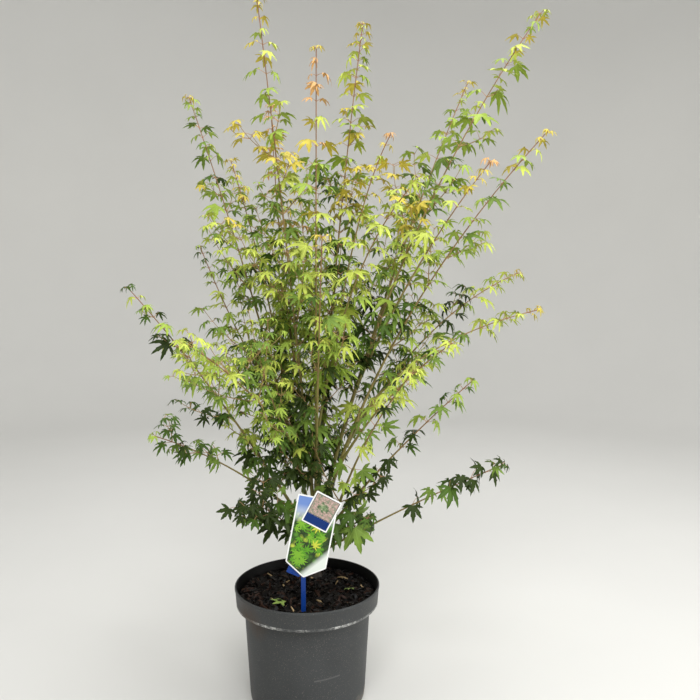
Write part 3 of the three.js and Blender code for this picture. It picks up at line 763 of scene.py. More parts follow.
    def grow(self, limb, index):
        """Clothes one stem: leaf pairs at its nodes, and further from its tip twigs, shoots and spurs."""
        rand = random.Random(self.settings.seed * 100 + index)
        girth = limb.row["girth"] * MM
        phase = rand.uniform(0, HALF_TURN)
        for count, distance in enumerate(stem_nodes(limb, self.settings)):
            from_tip = limb.length - distance
            t = limb.fraction(distance)
            place = limb.point(t)
            turn = phase + count * QUARTER_TURN + rand.uniform(-0.25, 0.25)
            score = self.tint(limb, place, from_tip, rand)
            young_reach = 0.03 + 0.14 * part_way(place.z, 0.45, 0.85)
            grown_in = min(1, from_tip / young_reach)
            size = 0.56 + 0.5 * grown_in - 0.15 * part_way(place.z, 0.7, 1.2)
            kind = {"young": grown_in < 0.3, "droop": (-0.1, 0.5)}
            self.add_pair(place, limb, t, turn, size, score, rand, **kind)
            if count == 0:
                self.add_pair(place, limb, t, turn + QUARTER_TURN, size * 0.8, score, rand, **kind)
            thick = sheltered(place)
            low = max(part_way(from_tip, 0.2, 0.5), thick * 0.8)
            chance = self.settings.twiggy * (0.28 + 0.45 * low + 0.45 * thick) * (1 - 0.4 * airy(place))
            lower_left = part_way(place.z, 0.68, 0.56) * part_way(place.x, 0.0, -0.05)
            if rand.random() < 0.3 * lower_left * part_way(from_tip, 0.2, 0.3):
                self.add_shoot(limb, t, rand)
            for way in (0, HALF_TURN):
                if low > 0 and rand.random() < chance:
                    reach = (0.35 * girth + (0.95 * girth + 0.04) * low) * rand.uniform(0.5, 1.1)
                    self.add_twig(limb, place, t, turn + way, reach, score, rand)
                elif from_tip > 0.05 and rand.random() < 0.35:
                    spur = place + limb.along(t) * 3 * MM
                    self.add_pair(spur, limb, t, turn + 0.5, 0.5, score + 0.8, rand, (way,), young=True)


def leaf_shape(name, lobes, seed, material, curl, broad=1):
    """One leaf in its own outline: lobes like a hand's fingers, each folded along its rib and toothed."""
    rand = random.Random(seed)
    droop = rand.uniform(0.35, 0.85) * curl
    fold = rand.uniform(0.2, 0.5) * curl
    sinus = 0.31 * broad ** 0.5
    fingers = [(-math.radians(a), size) for a, size in reversed(lobes[1:])]
    fingers += [(math.radians(a), size) for a, size in lobes]
    fingers = [(a + rand.gauss(0, 0.03), size * rand.uniform(0.93, 1.07)) for a, size in fingers]
    points, ribs, faces = [(0, 0, 0)], [1.0], []

    def put(angle, reach, off=0, rib=0):
        """Adds a point of the blade at a distance along a lobe's rib and a distance off it."""
        drawn = reach * (1 - 0.25 * droop * reach)
        x = math.sin(angle) * drawn + math.cos(angle) * off
        y = math.cos(angle) * drawn - math.sin(angle) * off
        height = -droop * reach ** 1.7 + fold * abs(off)
        points.append((x, y, height + curl * 0.04 * math.sin(5 * reach + seed + 3 * angle)))
        ribs.append(rib)
        return len(points) - 1

    back = put(fingers[0][0] - 0.5, 0.12)
    for i, (angle, size) in enumerate(fingers):
        last = i == len(fingers) - 1
        between = angle + 0.5 if last else (angle + fingers[i + 1][0]) / 2
        next_size = size if last else fingers[i + 1][1]
        dip = 0.12 if last else sinus * min(1, (size + next_size) / 1.7)
        wide = (0.1 if size < 0.5 else 0.115 * size) * broad
        rib_low, rib_high, tip = (put(angle, share * size, rib=1) for share in (0.5, 0.76, 1))
        # A side of a lobe runs over its shoulder, out to a tooth and in to the notch above it.
        sides = []
        for way in (-1, 1):
            edge = ((0.42, 0.85), (0.62, 1), (0.66, 0.68), (0.83, 0.5))
            sides.append([put(angle, reach * size, way * wide * off) for reach, off in edge])
        after = put(between, dip)
        (l1, l2, l3, l4), (r1, r2, r3, r4) = sides
        faces += [(0, back, l1, rib_low), (l1, l2, rib_low), (l2, l3, rib_high, rib_low)]
        faces += [(l3, l4, rib_high), (l4, tip, rib_high)]
        faces += [(0, rib_low, r1, after), (r1, rib_low, r2), (r2, rib_low, rib_high, r3)]
        faces += [(r3, rib_high, r4), (r4, rib_high, tip)]
        back = after
    mesh = mesh_of(name, points, [tuple(reversed(face)) for face in faces])
    mark(mesh, "rib", ribs)
    return loose_object(name, mesh, material)


def start_tree(name, *inputs):
    """A Geometry Nodes tree that takes geometry, these inputs and a material; returns what it is given."""
    tree = bpy.data.node_groups.new(name, "GeometryNodeTree")
    for label, kind in (("Geometry", "Geometry"), *inputs, ("Material", "Material")):
        tree.interface.new_socket(label, in_out="INPUT", socket_type=f"NodeSocket{kind}")
    tree.interface.new_socket("Geometry", in_out="OUTPUT", socket_type="NodeSocketGeometry")
    return tree, add(tree, "NodeGroupInput").outputs


def end_tree(tree, made, given):
    """Makes what a tree has made real geometry in the given material."""
    real = add(tree, "GeometryNodeRealizeInstances", {"Geometry": made})
    finished = add(tree, "GeometryNodeSetMaterial", {"Geometry": real, "Material": given["Material"]})
    add(tree, "NodeGroupOutput", {"Geometry": finished})
    return tree


def scatter_tree():
    """Geometry Nodes: puts a picked shape on each point, turned and sized by the point's attributes."""
    tree, given = start_tree("scatter shapes", ("Shapes", "Collection"))
    turn, size, shape = (
        add(tree, "GeometryNodeInputNamedAttribute", {"Name": name}, data_type=kind)
        for name, kind in (("turn", "FLOAT_VECTOR"), ("size", "FLOAT"), ("shape", "INT"))
    )
    shapes = add(
        tree, "GeometryNodeCollectionInfo",
        {"Collection": given["Shapes"], "Separate Children": True, "Reset Children": True},
    )
    turned = add(tree, "FunctionNodeEulerToRotation", {"Euler": turn})
    placed = add(
        tree, "GeometryNodeInstanceOnPoints",
        {
            "Points": given["Geometry"], "Instance": shapes, "Pick Instance": True,
            "Instance Index": shape, "Rotation": turned, "Scale": size,
        },
    )
    return end_tree(tree, placed, given)


def twig_tree():
    """Geometry Nodes: makes a round, closed twig of every chain of edges, as thick as its points say."""
    tree, given = start_tree("round twigs", ("Sides", "Int"))
    thick = add(tree, "GeometryNodeInputNamedAttribute", {"Name": "thick"}, data_type="FLOAT")
    chains = add(tree, "GeometryNodeMeshToCurve", {"Mesh": given["Geometry"]})
    section = add(
        tree, "GeometryNodeCurvePrimitiveCircle", {"Resolution": given["Sides"], "Radius": 1.0}
    )
    tube = add(
        tree, "GeometryNodeCurveToMesh",
        {"Curve": chains, "Profile Curve": section, "Scale": thick, "Fill Caps": True},
    )
    return end_tree(tree, tube, given)


def with_nodes(name, mesh, tree, material, **inputs):
    """A piece that a tree makes of a mesh with the named inputs, left as a plain mesh."""
    piece = new_object(name, mesh, material)
    modifier = piece.modifiers.new(tree.name, "NODES")
    modifier.node_group = tree
    inputs["material"] = material
    for item in tree.interface.items_tree:
        if item.in_out == "INPUT" and item.name.lower() in inputs:
            modifier[item.identifier] = inputs[item.name.lower()]
    return baked(piece)


def scattered(name, tree, spots, shapes, material):
    """A joined piece of picked shapes; a spot is a place, a turn, a size and a shape's number."""
    mesh = mesh_of(name, [spot[0] for spot in spots], [])
    mark(mesh, "turn", [angle for spot in spots for angle in spot[1]], "FLOAT_VECTOR")
    mark(mesh, "size", [spot[2] for spot in spots])
    mark(mesh, "shape", [spot[3] for spot in spots], "INT")
    holder = bpy.data.collections.new(name)
    for shape in shapes:
        holder.objects.link(shape)
    piece = with_nodes(name, mesh, tree, material, shapes=holder)
    bpy.data.collections.remove(holder)
    for shape in shapes:
        bpy.data.meshes.remove(shape.data)
    return piece


def strung(name, tree, chains, material, sides):
    """A joined piece of round twigs; a chain is its points and their radii."""
    points, edges, thick = [], [], []
    for centre, radii in chains:
        base = len(points)
        points += centre
        thick += radii
        edges += [(base + i, base + i + 1) for i in range(len(centre) - 1)]
    mesh = mesh_of(name, points, [], edges)
    mark(mesh, "thick", thick)
    return with_nodes(name, mesh, tree, material, sides=sides)


def leaf_material(name, tone):
    """A thin maple leaf: satin above, its ribs paler than the blade, a little mottled."""
    material, tree, place = new_material(name)
    patch = add(tree, "ShaderNodeTexNoise", {"Vector": place, "Scale": per_mm(26), "Detail": 2})
    mottled = add(tree, "ShaderNodeValToRGB", {0: patch}, shades(tone, 0.72, 1.25))
    rib = add(tree, "ShaderNodeAttribute", attribute_name="rib").outputs["Fac"]
    line = add(tree, "ShaderNodeValToRGB", {0: rib}, ((0.78, 0), (0.97, 0.45)))
    pale = tuple(min(1, 1.5 * channel + 0.02) for channel in tone[:3]) + (1.0,)
    # The net of veins is finer on a real leaf: it is drawn as coarse as it needs to show.
    veins = add(tree, "ShaderNodeTexNoise", {"Vector": place, "Scale": per_mm(2.5), "Detail": 2})
    bump = add(tree, "ShaderNodeBump", {"Height": veins, "Strength": 0.25, "Distance": 0.3 * MM})
    blade = coated(tree, mottled, [(line, pale)])
    return painted(material, Base_Color=blade, Normal=bump, Roughness=0.5, IOR=1.25)


def wood_material(name, tone, grain_mm=1.5, roughness=0.55, ior=1.4):
    """Thin wood, green or as a chip: smooth, faintly streaked."""
    material, tree, place = new_material(name)
    streak = add(tree, "ShaderNodeTexNoise", {"Vector": place, "Scale": per_mm(grain_mm * 6), "Detail": 3})
    drawn = add(tree, "ShaderNodeValToRGB", {0: streak}, shades(tone, 0.7, 1.2))
    grain = add(tree, "ShaderNodeTexNoise", {"Vector": place, "Scale": per_mm(grain_mm), "Detail": 1})
    bump = add(tree, "ShaderNodeBump", {"Height": grain, "Strength": 0.3, "Distance": 0.2 * MM})
    return painted(material, Base_Color=drawn, Normal=bump, Roughness=roughness, IOR=ior)


class MAPLE_OT_foliage(bpy.types.Operator):
    """Side twigs, leaf stalks and leaves, each kind and tint as one joined piece"""

    bl_idname = "maple.foliage"
    bl_label = "Build Foliage"

    def execute(self, context):
        settings = context.scene.maple_shrub
        _, grown = grow_stems()
        foliage = Foliage(settings)
        for index, limb in enumerate(grown.values()):
            foliage.grow(limb, index)
        masses = [f"foliage_{name}" for name in grown]

        tree = twig_tree()
        twig_wood = wood_material("side twig bark", settings.twig)
        keep(strung("side_twigs", tree, foliage.twigs, twig_wood, 5), masses)
        stalk_wood = wood_material("leaf stalk", settings.stalk)
        keep(strung("leaf_stalks", tree, foliage.stalks, stalk_wood, 3), masses)

        scatter = scatter_tree()
        # Each tint is its own piece; the deep and dark tints are partly painted shade, the fresh tint painted
        # light.
        for tint, name in enumerate(TINTS):
            material = leaf_material(f"{name} maple leaf", getattr(settings, name))
            shapes = []
            for lobes, seed, curl, broad in LEAF_KINDS:
                for i in range(LEAF_VARIANTS):
                    leaf = leaf_shape(f"leaf {len(shapes)}", lobes, seed + i, material, curl, broad)
                    shapes.append(leaf)
            spots = [leaf[:4] for leaf in foliage.leaves if leaf[4] == tint]
            keep(scattered(f"leaves_{name}", scatter, spots, shapes, material), masses)
        return {"FINISHED"}


def scratch_of(tree, place):
    """The mask of a faint scratch that climbs a little to the right, low on the pot's front."""
    across, deep, height = add(tree, "ShaderNodeSeparateXYZ", {"Vector": place}).outputs
    slope, start_height, half_width = 0.07, 83 * MM, 1.5 * MM
    middle, half_length, faintness = 41 * MM, 23 * MM, 0.09
    climb = add(tree, "ShaderNodeMath", {0: across, 1: -slope, 2: height}, operation="MULTIPLY_ADD")
    line = add(tree, "ShaderNodeMath", {0: climb, 1: start_height, 2: half_width}, operation="COMPARE")
    span = add(tree, "ShaderNodeMath", {0: across, 1: middle, 2: half_length}, operation="COMPARE")
    front = add(tree, "ShaderNodeMath", {0: deep, 1: 0.0}, operation="LESS_THAN")
    return all_of(tree, line, span, front, faintness)


def pot_material(settings, low, high):
    """Moulded recycled polypropylene: satin dark grey, speckled, with rubbed edges, dried compost and painted
    shade inside the rim.
    """
    material, tree, place = new_material("moulded grey polypropylene")
    height = add(tree, "ShaderNodeSeparateXYZ", {"Vector": place}).outputs["Z"]
    band_foot = high.z - settings.band

    cloud = add(tree, "ShaderNodeTexNoise", {"Vector": place, "Scale": per_mm(70), "Detail": 4})
    plastic = add(tree, "ShaderNodeValToRGB", {0: cloud}, shades(settings.plastic, 0.86, 1.12))
    speck = add(tree, "ShaderNodeTexNoise", {"Vector": place, "Scale": per_mm(1.5), "Detail": 1})
    dots = add(tree, "ShaderNodeValToRGB", {0: speck}, ((0.65, 0), (0.74, 0.7)))

    # The band's lower edge is rubbed pale, in stretches.
    edge_height, rubbed_reach = band_foot + 1.4 * MM, 4 * MM
    edge = {0: height, 1: edge_height, 2: rubbed_reach}
    near_edge = add(tree, "ShaderNodeMath", edge, operation="COMPARE")
    uneven = {"Vector": place, "Scale": per_mm(6), "Detail": 5, "Roughness": 0.75}
    rub = add(tree, "ShaderNodeTexNoise", uneven)
    worn = add(tree, "ShaderNodeValToRGB", {0: rub}, ((0.42, 0.05), (0.57, 1)))
    stretch = add(tree, "ShaderNodeTexNoise", {"Vector": place, "Scale": per_mm(70), "Detail": 1})
    here = add(tree, "ShaderNodeValToRGB", {0: stretch}, ((0.36, 0.16), (0.5, 1)))
    scuffed = all_of(tree, near_edge, worn, here)

    # A patchy brown stain lies round that edge, left of the middle.
    stain_place = (-104 * MM, -86 * MM, band_foot - 3 * MM)
    from_stain = add(tree, "ShaderNodeVectorMath", {0: place, 1: stain_place}, operation="DISTANCE")
    fading = {"Value": from_stain, "From Min": 14 * MM, "From Max": 46 * MM, "To Min": 1.0, "To Max": 0.0}
    blot = add(tree, "ShaderNodeMapRange", fading)
    patchy = add(tree, "ShaderNodeValToRGB", {0: rub}, ((0.35, 0.35), (0.6, 1)))
    stained = all_of(tree, blot, patchy)

    # Dried compost clings to the plastic in patches, more of it low down.
    splash = {"Vector": place, "Scale": per_mm(38), "Detail": 5, "Roughness": 0.65}
    soil = add(tree, "ShaderNodeTexNoise", splash)
    rise = {"Value": height, "From Min": low.z, "From Max": low.z + 45 * MM, "To Min": 0.32, "To Max": 0.0}
    low_down = add(tree, "ShaderNodeMapRange", rise)
    soiling = add(tree, "ShaderNodeMath", {0: soil, 1: low_down}, operation="ADD")
    dirty = add(tree, "ShaderNodeValToRGB", {0: soiling}, ((0.68, 0), (0.86, 0.6)))

    # The inside is painted dark, as painted shade inside the pot together with some compost soil: further in
    # than most of the wall's thickness, and from just above the band's foot.
    level = add(tree, "ShaderNodeVectorMath", {0: place, 1: (1, 1, 0)}, operation="MULTIPLY")
    reach = add(tree, "ShaderNodeVectorMath", {0: level}, operation="LENGTH")
    slope = BAND_FLARE / settings.band
    skin = {0: height, 1: slope, 2: high.x - BAND_FLARE - band_foot * slope}
    outer = add(tree, "ShaderNodeMath", skin, operation="MULTIPLY_ADD")
    depth = add(tree, "ShaderNodeMath", {0: outer, 1: reach}, operation="SUBTRACT")
    within = add(tree, "ShaderNodeMath", {0: depth, 1: 0.7 * settings.wall}, operation="GREATER_THAN")
    above = add(tree, "ShaderNodeMath", {0: height, 1: band_foot + 6 * MM}, operation="GREATER_THAN")

    tone = coated(tree, plastic, (
        (dots, settings.dust), (scuffed, settings.scuff), (stained, settings.stain),
        (scratch_of(tree, place), settings.scuff), (dirty, settings.dust),
        # Painted shade: the inside of the rim goes over everything else in the inside colour.
        (all_of(tree, within, above), settings.inside),
    ))
    rough = add(tree, "ShaderNodeValToRGB", {0: cloud}, ((0.3, 0.46), (0.7, 0.6)))
    # The moulded skin is finer than this, which is as coarse as it needs to show.
    grain = add(tree, "ShaderNodeTexNoise", {"Vector": place, "Scale": per_mm(1.4), "Detail": 2})
    bump = add(tree, "ShaderNodeBump", {"Height": grain, "Strength": 0.2, "Distance": 0.2 * MM})
    return painted(material, Base_Color=tone, Roughness=rough, Normal=bump, IOR=1.36)


class MAPLE_OT_pot(bpy.types.Operator):
    """The round nursery pot with its band, lip, stacking step and drain holes"""

    bl_idname = "maple.pot"
    bl_label = "Build Pot"

    def execute(self, context):
        settings = context.scene.maple_pot
        low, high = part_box("pot")
        rim, top = high.x, high.z
        foot = top - settings.band
        wall = settings.wall
        floor = wall + 1 * MM
        band_foot, body_top, base = rim - BAND_FLARE, rim - 18 * MM, rim - 29 * MM
        # From the underside's middle up the outside, over the rim and down the inside, as a radius and how
        # many millimetres it is off, and a height and how many millimetres that is off.
        rows = (
            (0, 0, 0, 2), (base, -22, 0, 2), (base, -20, 0, 0), (base, -7, 0, 0),
            (base, -3.4, 0, 1), (base, -1, 0, 3.6), (base, 0, 0, 7),
            (base, 0.1, 0, 14), (base, 1, 0, 15),
            (body_top, -0.6, foot, -9), (body_top, 0, foot, -5), (body_top, 2, foot, -2.4),
            (band_foot, -4, foot, -0.6), (band_foot, -1, foot, 0.2),
            (band_foot, 0, foot, 1.6), (band_foot, 0.1, foot, 4),
            (rim, -0.9, top, -6), (rim, -0.2, top, -5), (rim, 0, top, -3.4),
            (rim, 0, top, -1.2), (rim, -0.5, top, -0.3), (rim, -1.4, top, 0),
            (rim, -2.6, top, 0), (rim, -3.3, top, -0.5), (rim, -3.6, top, -2),
            (band_foot - wall, 0, foot, 3), (body_top - wall, 0, foot, -1),
            (base, -7, floor, 0), (0, 0, floor, 0),
        )
        profile = [(radius + out * MM, height + up * MM) for radius, out, height, up in rows]
        material = pot_material(settings, low, high)
        pot = new_object("pot_shell", mesh_of("pot_shell", *lathe(profile, settings.segments)), material)

        holes, hole_radius, ring_radius = 8, 6 * MM, 88 * MM
        build = bmesh.new()
        for i in range(holes):
            turn = (i + 0.5) / holes * FULL_TURN
            spot = Matrix.Translation((ring_radius * math.cos(turn), ring_radius * math.sin(turn), 0))
            bmesh.ops.create_cone(
                build, cap_ends=True, segments=24, radius1=hole_radius, radius2=hole_radius,
                depth=40 * MM, matrix=spot,
            )
        drill = new_object("drill", mesh_from(build, "drill"), material)
        cut = pot.modifiers.new("drain holes", "BOOLEAN")
        cut.object = drill
        cut.operation = "DIFFERENCE"
        cut.solver = "EXACT"
        baked(pot)
        bpy.data.meshes.remove(drill.data)
        for polygon in pot.data.polygons:
            polygon.use_smooth = True
        pot.data.set_sharp_from_angle(angle=math.radians(35))
        keep(pot, ["pot"])
        return {"FINISHED"}


def compost_material(settings):
    """Moist peat with fine bark: nearly black, partly as painted shade, matt with a damp glint."""
    material, tree, place = new_material("moist peat compost")
    crumbs = {"Vector": place, "Scale": per_mm(3), "Detail": 5, "Roughness": 0.7}
    crumb = add(tree, "ShaderNodeTexNoise", crumbs)
    # Painted shade: the crumbs' hollows, where the bump is low, take half the peat's colour.
    stops = ((0.35, shade(settings.peat, 0.5)), (0.55, settings.peat), (0.72, settings.bark))
    tone = add(tree, "ShaderNodeValToRGB", {0: crumb}, stops)
    bump = add(tree, "ShaderNodeBump", {"Height": crumb, "Strength": 0.9, "Distance": 2 * MM})
    return painted(material, Base_Color=tone, Normal=bump, Roughness=0.9, IOR=1.15)


def chip_shape(name, seed, material, slim):
    """A splintered chip: a bent box of few faces, one unit long."""
    rand = random.Random(seed)
    wide = 0.1 if slim else rand.uniform(0.3, 0.6)
    thick = 0.07 if slim else rand.uniform(0.12, 0.25)
    most = 0.3 if slim else 0.12
    bend = rand.uniform(-most, most)
    steps = 5 if slim else 3
    points = []
    for i in range(steps + 1):
        t = i / steps
        taper = 0.35 + 0.65 * math.sin(math.pi * (0.12 + 0.76 * t)) * rand.uniform(0.8, 1.1)
        for y, z in box_outline(-1, -1, 1, 1):
            off = y * wide * taper / 2 + bend * math.sin(math.pi * t)
            lift = z * thick * taper / 2 + rand.uniform(-0.02, 0.02)
            points.append((t - 0.5, off, lift))
    faces = []
    for low in range(0, 4 * steps, 4):
        for k in range(4):
            after = (k + 1) % 4
            faces.append((low + k, low + 4 + k, low + 4 + after, low + after))
    last = 4 * steps
    faces += [(0, 1, 2, 3), (last + 3, last + 2, last + 1, last)]
    return loose_object(name, mesh_of(name, points, faces), material, smooth=False)


class MAPLE_OT_compost(bpy.types.Operator):
    """Lumpy compost in the pot, strewn with bark chips, pale slivers and two fallen leaves"""

    bl_idname = "maple.compost"
    bl_label = "Build Compost"

    def execute(self, context):
        settings = context.scene.maple_compost
        low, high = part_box("compost")
        outer = high.x - 0.4 * MM
        top = high.z - settings.roughness / 2
        bottom = low.z + 0.2 * MM
        rings, segments = 46, 128
        profile = [(0, bottom), (high.x - 30 * MM, bottom), (high.x - 14 * MM, top - 22 * MM)]
        profile += [(outer, top - 14 * MM), (outer, top - 2 * MM)]
        profile += [(outer * (1 - i / rings), top) for i in range(1, rings)] + [(0, top)]
        points, faces = lathe(profile, segments)

        def surface(x, y):
            """The compost's height: a shallow dish with lumps."""
            spot = Vector((x, y, 0)) / (14 * MM)
            lump = noise.noise(spot) + 0.5 * noise.noise(spot * 2.7) + 0.3 * noise.noise(spot * 6)
            rim = max(0, math.hypot(x, y) / outer - 0.8) * 5
            return top + settings.roughness * 0.55 * lump + 1.5 * MM * rim

        skin = top - 2.1 * MM
        moved = [(x, y, surface(x, y) if z >= skin else z) for x, y, z in points]
        fill = new_object("compost_fill", mesh_of("compost_fill", moved, faces), compost_material(settings))
        keep(fill, ["compost"])

        scatter = scatter_tree()
        rand = random.Random(5)
        edge = outer - 3 * MM
        lean = 0.45
        variants = 6

        def spots(count, size):
            """Places on the compost, each with its tilt, its size and the number of a shape."""
            made = []
            for _ in range(count):
                grown = size * rand.uniform(0.45, 1.5)
                reach = min(edge * math.sqrt(rand.random()), edge - grown * 0.55)
                turn = rand.uniform(0, FULL_TURN)
                x, y = reach * math.cos(turn), reach * math.sin(turn)
                tilt = (rand.gauss(0, lean), rand.gauss(0, lean), rand.uniform(0, FULL_TURN))
                place = (x, y, surface(x, y) + rand.uniform(-0.5, 2.6) * MM)
                made.append((place, tilt, grown, rand.randrange(variants)))
            return made

        # Each kind of chip with its colour, how many times fewer there are, its length and its form.
        kinds = (
            ("chips_dark", settings.bark, 1, 1, False),
            # The black chips take the peat's near-black, which is partly painted shade.
            ("chips_black", settings.peat, 2, 1, False),
            ("chips_rusty", settings.rust, 7, 1, False),
            ("slivers_brown", settings.rust, 12, 1.9, True),
            ("slivers_pale", settings.straw, 55, 1.7, True),
        )
        for index, (name, tone, fewer, longer, slim) in enumerate(kinds):
            wood = wood_material(f"{name} wood", tone, 1, 0.42, 1.22)
            shapes = [chip_shape(f"chip {i}", 10 * index + i, wood, slim) for i in range(variants)]
            laid = spots(settings.chips // fewer, settings.chip_length * longer)
            keep(scattered(name, scatter, laid, shapes, wood))

        green = leaf_material("fallen maple leaf", linear("#7f9648"))
        laid = []
        for x, y, turn, size in ((-41 * MM, -58 * MM, 1.5, 30 * MM), (83 * MM, 5 * MM, 3, 18 * MM)):
            laid.append(((x, y, surface(x, y) + 8 * MM), (0.35, 0.1, turn), size, 0))
        fallen = [leaf_shape("leaf 0", BROAD_LOBES, 3, green, curl=0.4, broad=1.5)]
        keep(scattered("fallen_leaves", scatter, laid, fallen, green))
        return {"FINISHED"}


def plate(name, outline, thickness, above, placed, material, replaced=(), edge=0):
    """A flat plate of an outline, raised above its plane, with a map of it and perhaps a bevelled edge."""
    count = len(outline)
    points = [(x, y, level) for level in (above, above + thickness) for x, y in outline]
    # The outline runs counter-clockwise, so these faces point outwards.
    faces = [tuple(reversed(range(count))), tuple(range(count, 2 * count))]
    for i in range(count):
        after = (i + 1) % count
        faces.append((i, after, count + after, count + i))
    mesh = mesh_of(name, points, faces)
    xs, ys = zip(*outline)
    layer = mesh.uv_layers.new(name=PLATE_MAP)
    for loop in mesh.loops:
        x, y, _ = mesh.vertices[loop.vertex_index].co
        layer.data[loop.index].uv = (part_way(x, min(xs), max(xs)), part_way(y, min(ys), max(ys)))
    mesh.transform(placed)
    piece = new_object(name, mesh, material, smooth=False)
    if edge:
        bevel = piece.modifiers.new("rounded edge", "BEVEL")
        bevel.width = edge
        bevel.segments = 2
        bevel.limit_method = "ANGLE"
        bevel.angle_limit = math.radians(50)
        baked(piece)
    keep(piece, replaced)


def plastic_material(name, tone, roughness):
    """Moulded or printed sheet plastic: even colour, faint wipe marks in the gloss."""
    material, tree, place = new_material(name)
    wipe = add(tree, "ShaderNodeTexNoise", {"Vector": place, "Scale": per_mm(12), "Detail": 3})
    tint = add(tree, "ShaderNodeValToRGB", {0: wipe}, shades(tone, 0.93, 1.04))
    gloss = add(tree, "ShaderNodeValToRGB", {0: wipe}, ((0.3, roughness * 0.8), (0.7, roughness * 1.3)))
    return painted(material, Base_Color=tint, Roughness=gloss, IOR=1.3)


def leafy_print_material(settings):
    """Glossy print on card: a sky that fades into generic leafy greens, with a pale patch in a corner."""
    material, tree, plane = new_material("printed leafy card", PLATE_MAP)
    up = add(tree, "ShaderNodeSeparateXYZ", {"Vector": plane}).outputs["Y"]
    slanted = {"Vector": plane, "Scale": (5, 11, 1), "Rotation": (0, 0, 0.6)}
    stretched = add(tree, "ShaderNodeMapping", slanted)
    blades = add(tree, "ShaderNodeTexVoronoi", {"Vector": stretched, "Scale": 1.6, "Randomness": 1.0})
    hue = add(tree, "ShaderNodeSeparateColor", {"Color": blades.outputs["Color"]}).outputs["Red"]
    lit = [(position, shade(settings.leaf, light)) for position, light in ((0, 0.12), (0.4, 0.4), (0.8, 0.8))]
    greens = add(tree, "ShaderNodeValToRGB", {0: hue}, (*lit, (0.97, linear("#b9c843"))))
    gaps = add(
        tree, "ShaderNodeValToRGB", {0: blades.outputs["Distance"]}, ((0.2, 1), (0.62, (0.12, 0.18, 0.1, 1)))
    )
    haze = add(tree, "ShaderNodeValToRGB", {0: up}, ((0.66, 0), (0.82, 0.9), (0.9, 1)))
    sky = add(tree, "ShaderNodeValToRGB", {0: up}, ((0.72, linear("#dfe6ee")), (0.9, settings.sky)))
    bright = add(tree, "ShaderNodeVectorMath", {0: plane, 1: (0.9, -1.6, 0)}, operation="DOT_PRODUCT")
    patch = add(tree, "ShaderNodeValToRGB", {0: bright}, ((0.26, 0), (0.42, 1)))
    leafy = coated(tree, greens, [(0.85, gaps)], "MULTIPLY")
    picture = coated(tree, leafy, [(haze, sky), (patch, linear("#dfe6de"))])
    return painted(material, Base_Color=picture, Roughness=0.35, IOR=1.47)


def small_print_material():
    """Glossy print on card: a grey-green bush on dusty pink, in a thin dark line."""
    material, tree, plane = new_material("printed mottled card", PLATE_MAP)
    blotches = {"Vector": plane, "Scale": 8, "Detail": 5, "Roughness": 0.75}
    mottle = add(tree, "ShaderNodeTexNoise", blotches)
    dusty = ((0.3, "#414f3f"), (0.43, "#7f8e74"), (0.52, "#b08f88"), (0.62, "#cbb3a9"), (0.75, "#8f6b6b"))
    bushy = ((0.4, "#3f5638"), (0.6, "#90a878"))
    ground, leaves = (
        add(tree, "ShaderNodeValToRGB", {0: mottle}, [(position, linear(tone)) for position, tone in tones])
        for tones in (dusty, bushy)
    )
    from_middle = add(tree, "ShaderNodeVectorMath", {0: plane, 1: (0.5, 0.5, 0)}, operation="DISTANCE")
    ragged = add(tree, "ShaderNodeMath", {0: mottle, 1: 0.9, 2: from_middle}, operation="MULTIPLY_ADD")
    bush = add(tree, "ShaderNodeValToRGB", {0: ragged}, ((0.6, 1), (0.72, 0)))
    axes = add(tree, "ShaderNodeSeparateXYZ", {"Vector": plane}).outputs
    across, up = (add(tree, "ShaderNodeMath", {0: axes[a], 1: 0.5}, operation="PINGPONG") for a in "XY")
    edge = add(tree, "ShaderNodeMath", {0: across, 1: up}, operation="MINIMUM")
    line = add(tree, "ShaderNodeMath", {0: edge, 1: 0.025}, operation="LESS_THAN")
    picture = coated(tree, ground, [(bush, leaves), (line, linear("#343a3f"))])
    return painted(material, Base_Color=picture, Roughness=0.35, IOR=1.47)


def printed_leaves(name, count, seed, fits, placed, above, material):
    """Flat leaves of a card's print, strewn where they stay on it, each a hair above the one before."""
    rand = random.Random(seed)
    blade = leaf_shape(name, FULL_LOBES, seed, material, curl=0).data
    build = bmesh.new()
    laid = 0
    while laid < count:
        size = rand.uniform(11, 17) * MM
        across, up = rand.uniform(-36, 36) * MM, rand.uniform(6, 118) * MM
        turn = Matrix.Rotation(rand.uniform(-2.2, 2.2) + HALF_TURN, 4, "Z")
        spot = Matrix.Translation((across, up, above + 0.012 * MM * laid)) @ turn @ Matrix.Scale(size, 4)
        if not all(fits(spot @ vert.co) for vert in blade.vertices):
            continue
        laid += 1
        start = len(build.verts)
        build.from_mesh(blade)
        build.verts.ensure_lookup_table()
        bmesh.ops.transform(build, matrix=spot, verts=build.verts[start:])
    bpy.data.meshes.remove(blade)
    mesh = mesh_from(build, name)
    mesh.transform(placed)
    keep(new_object(name, mesh, material, smooth=False))


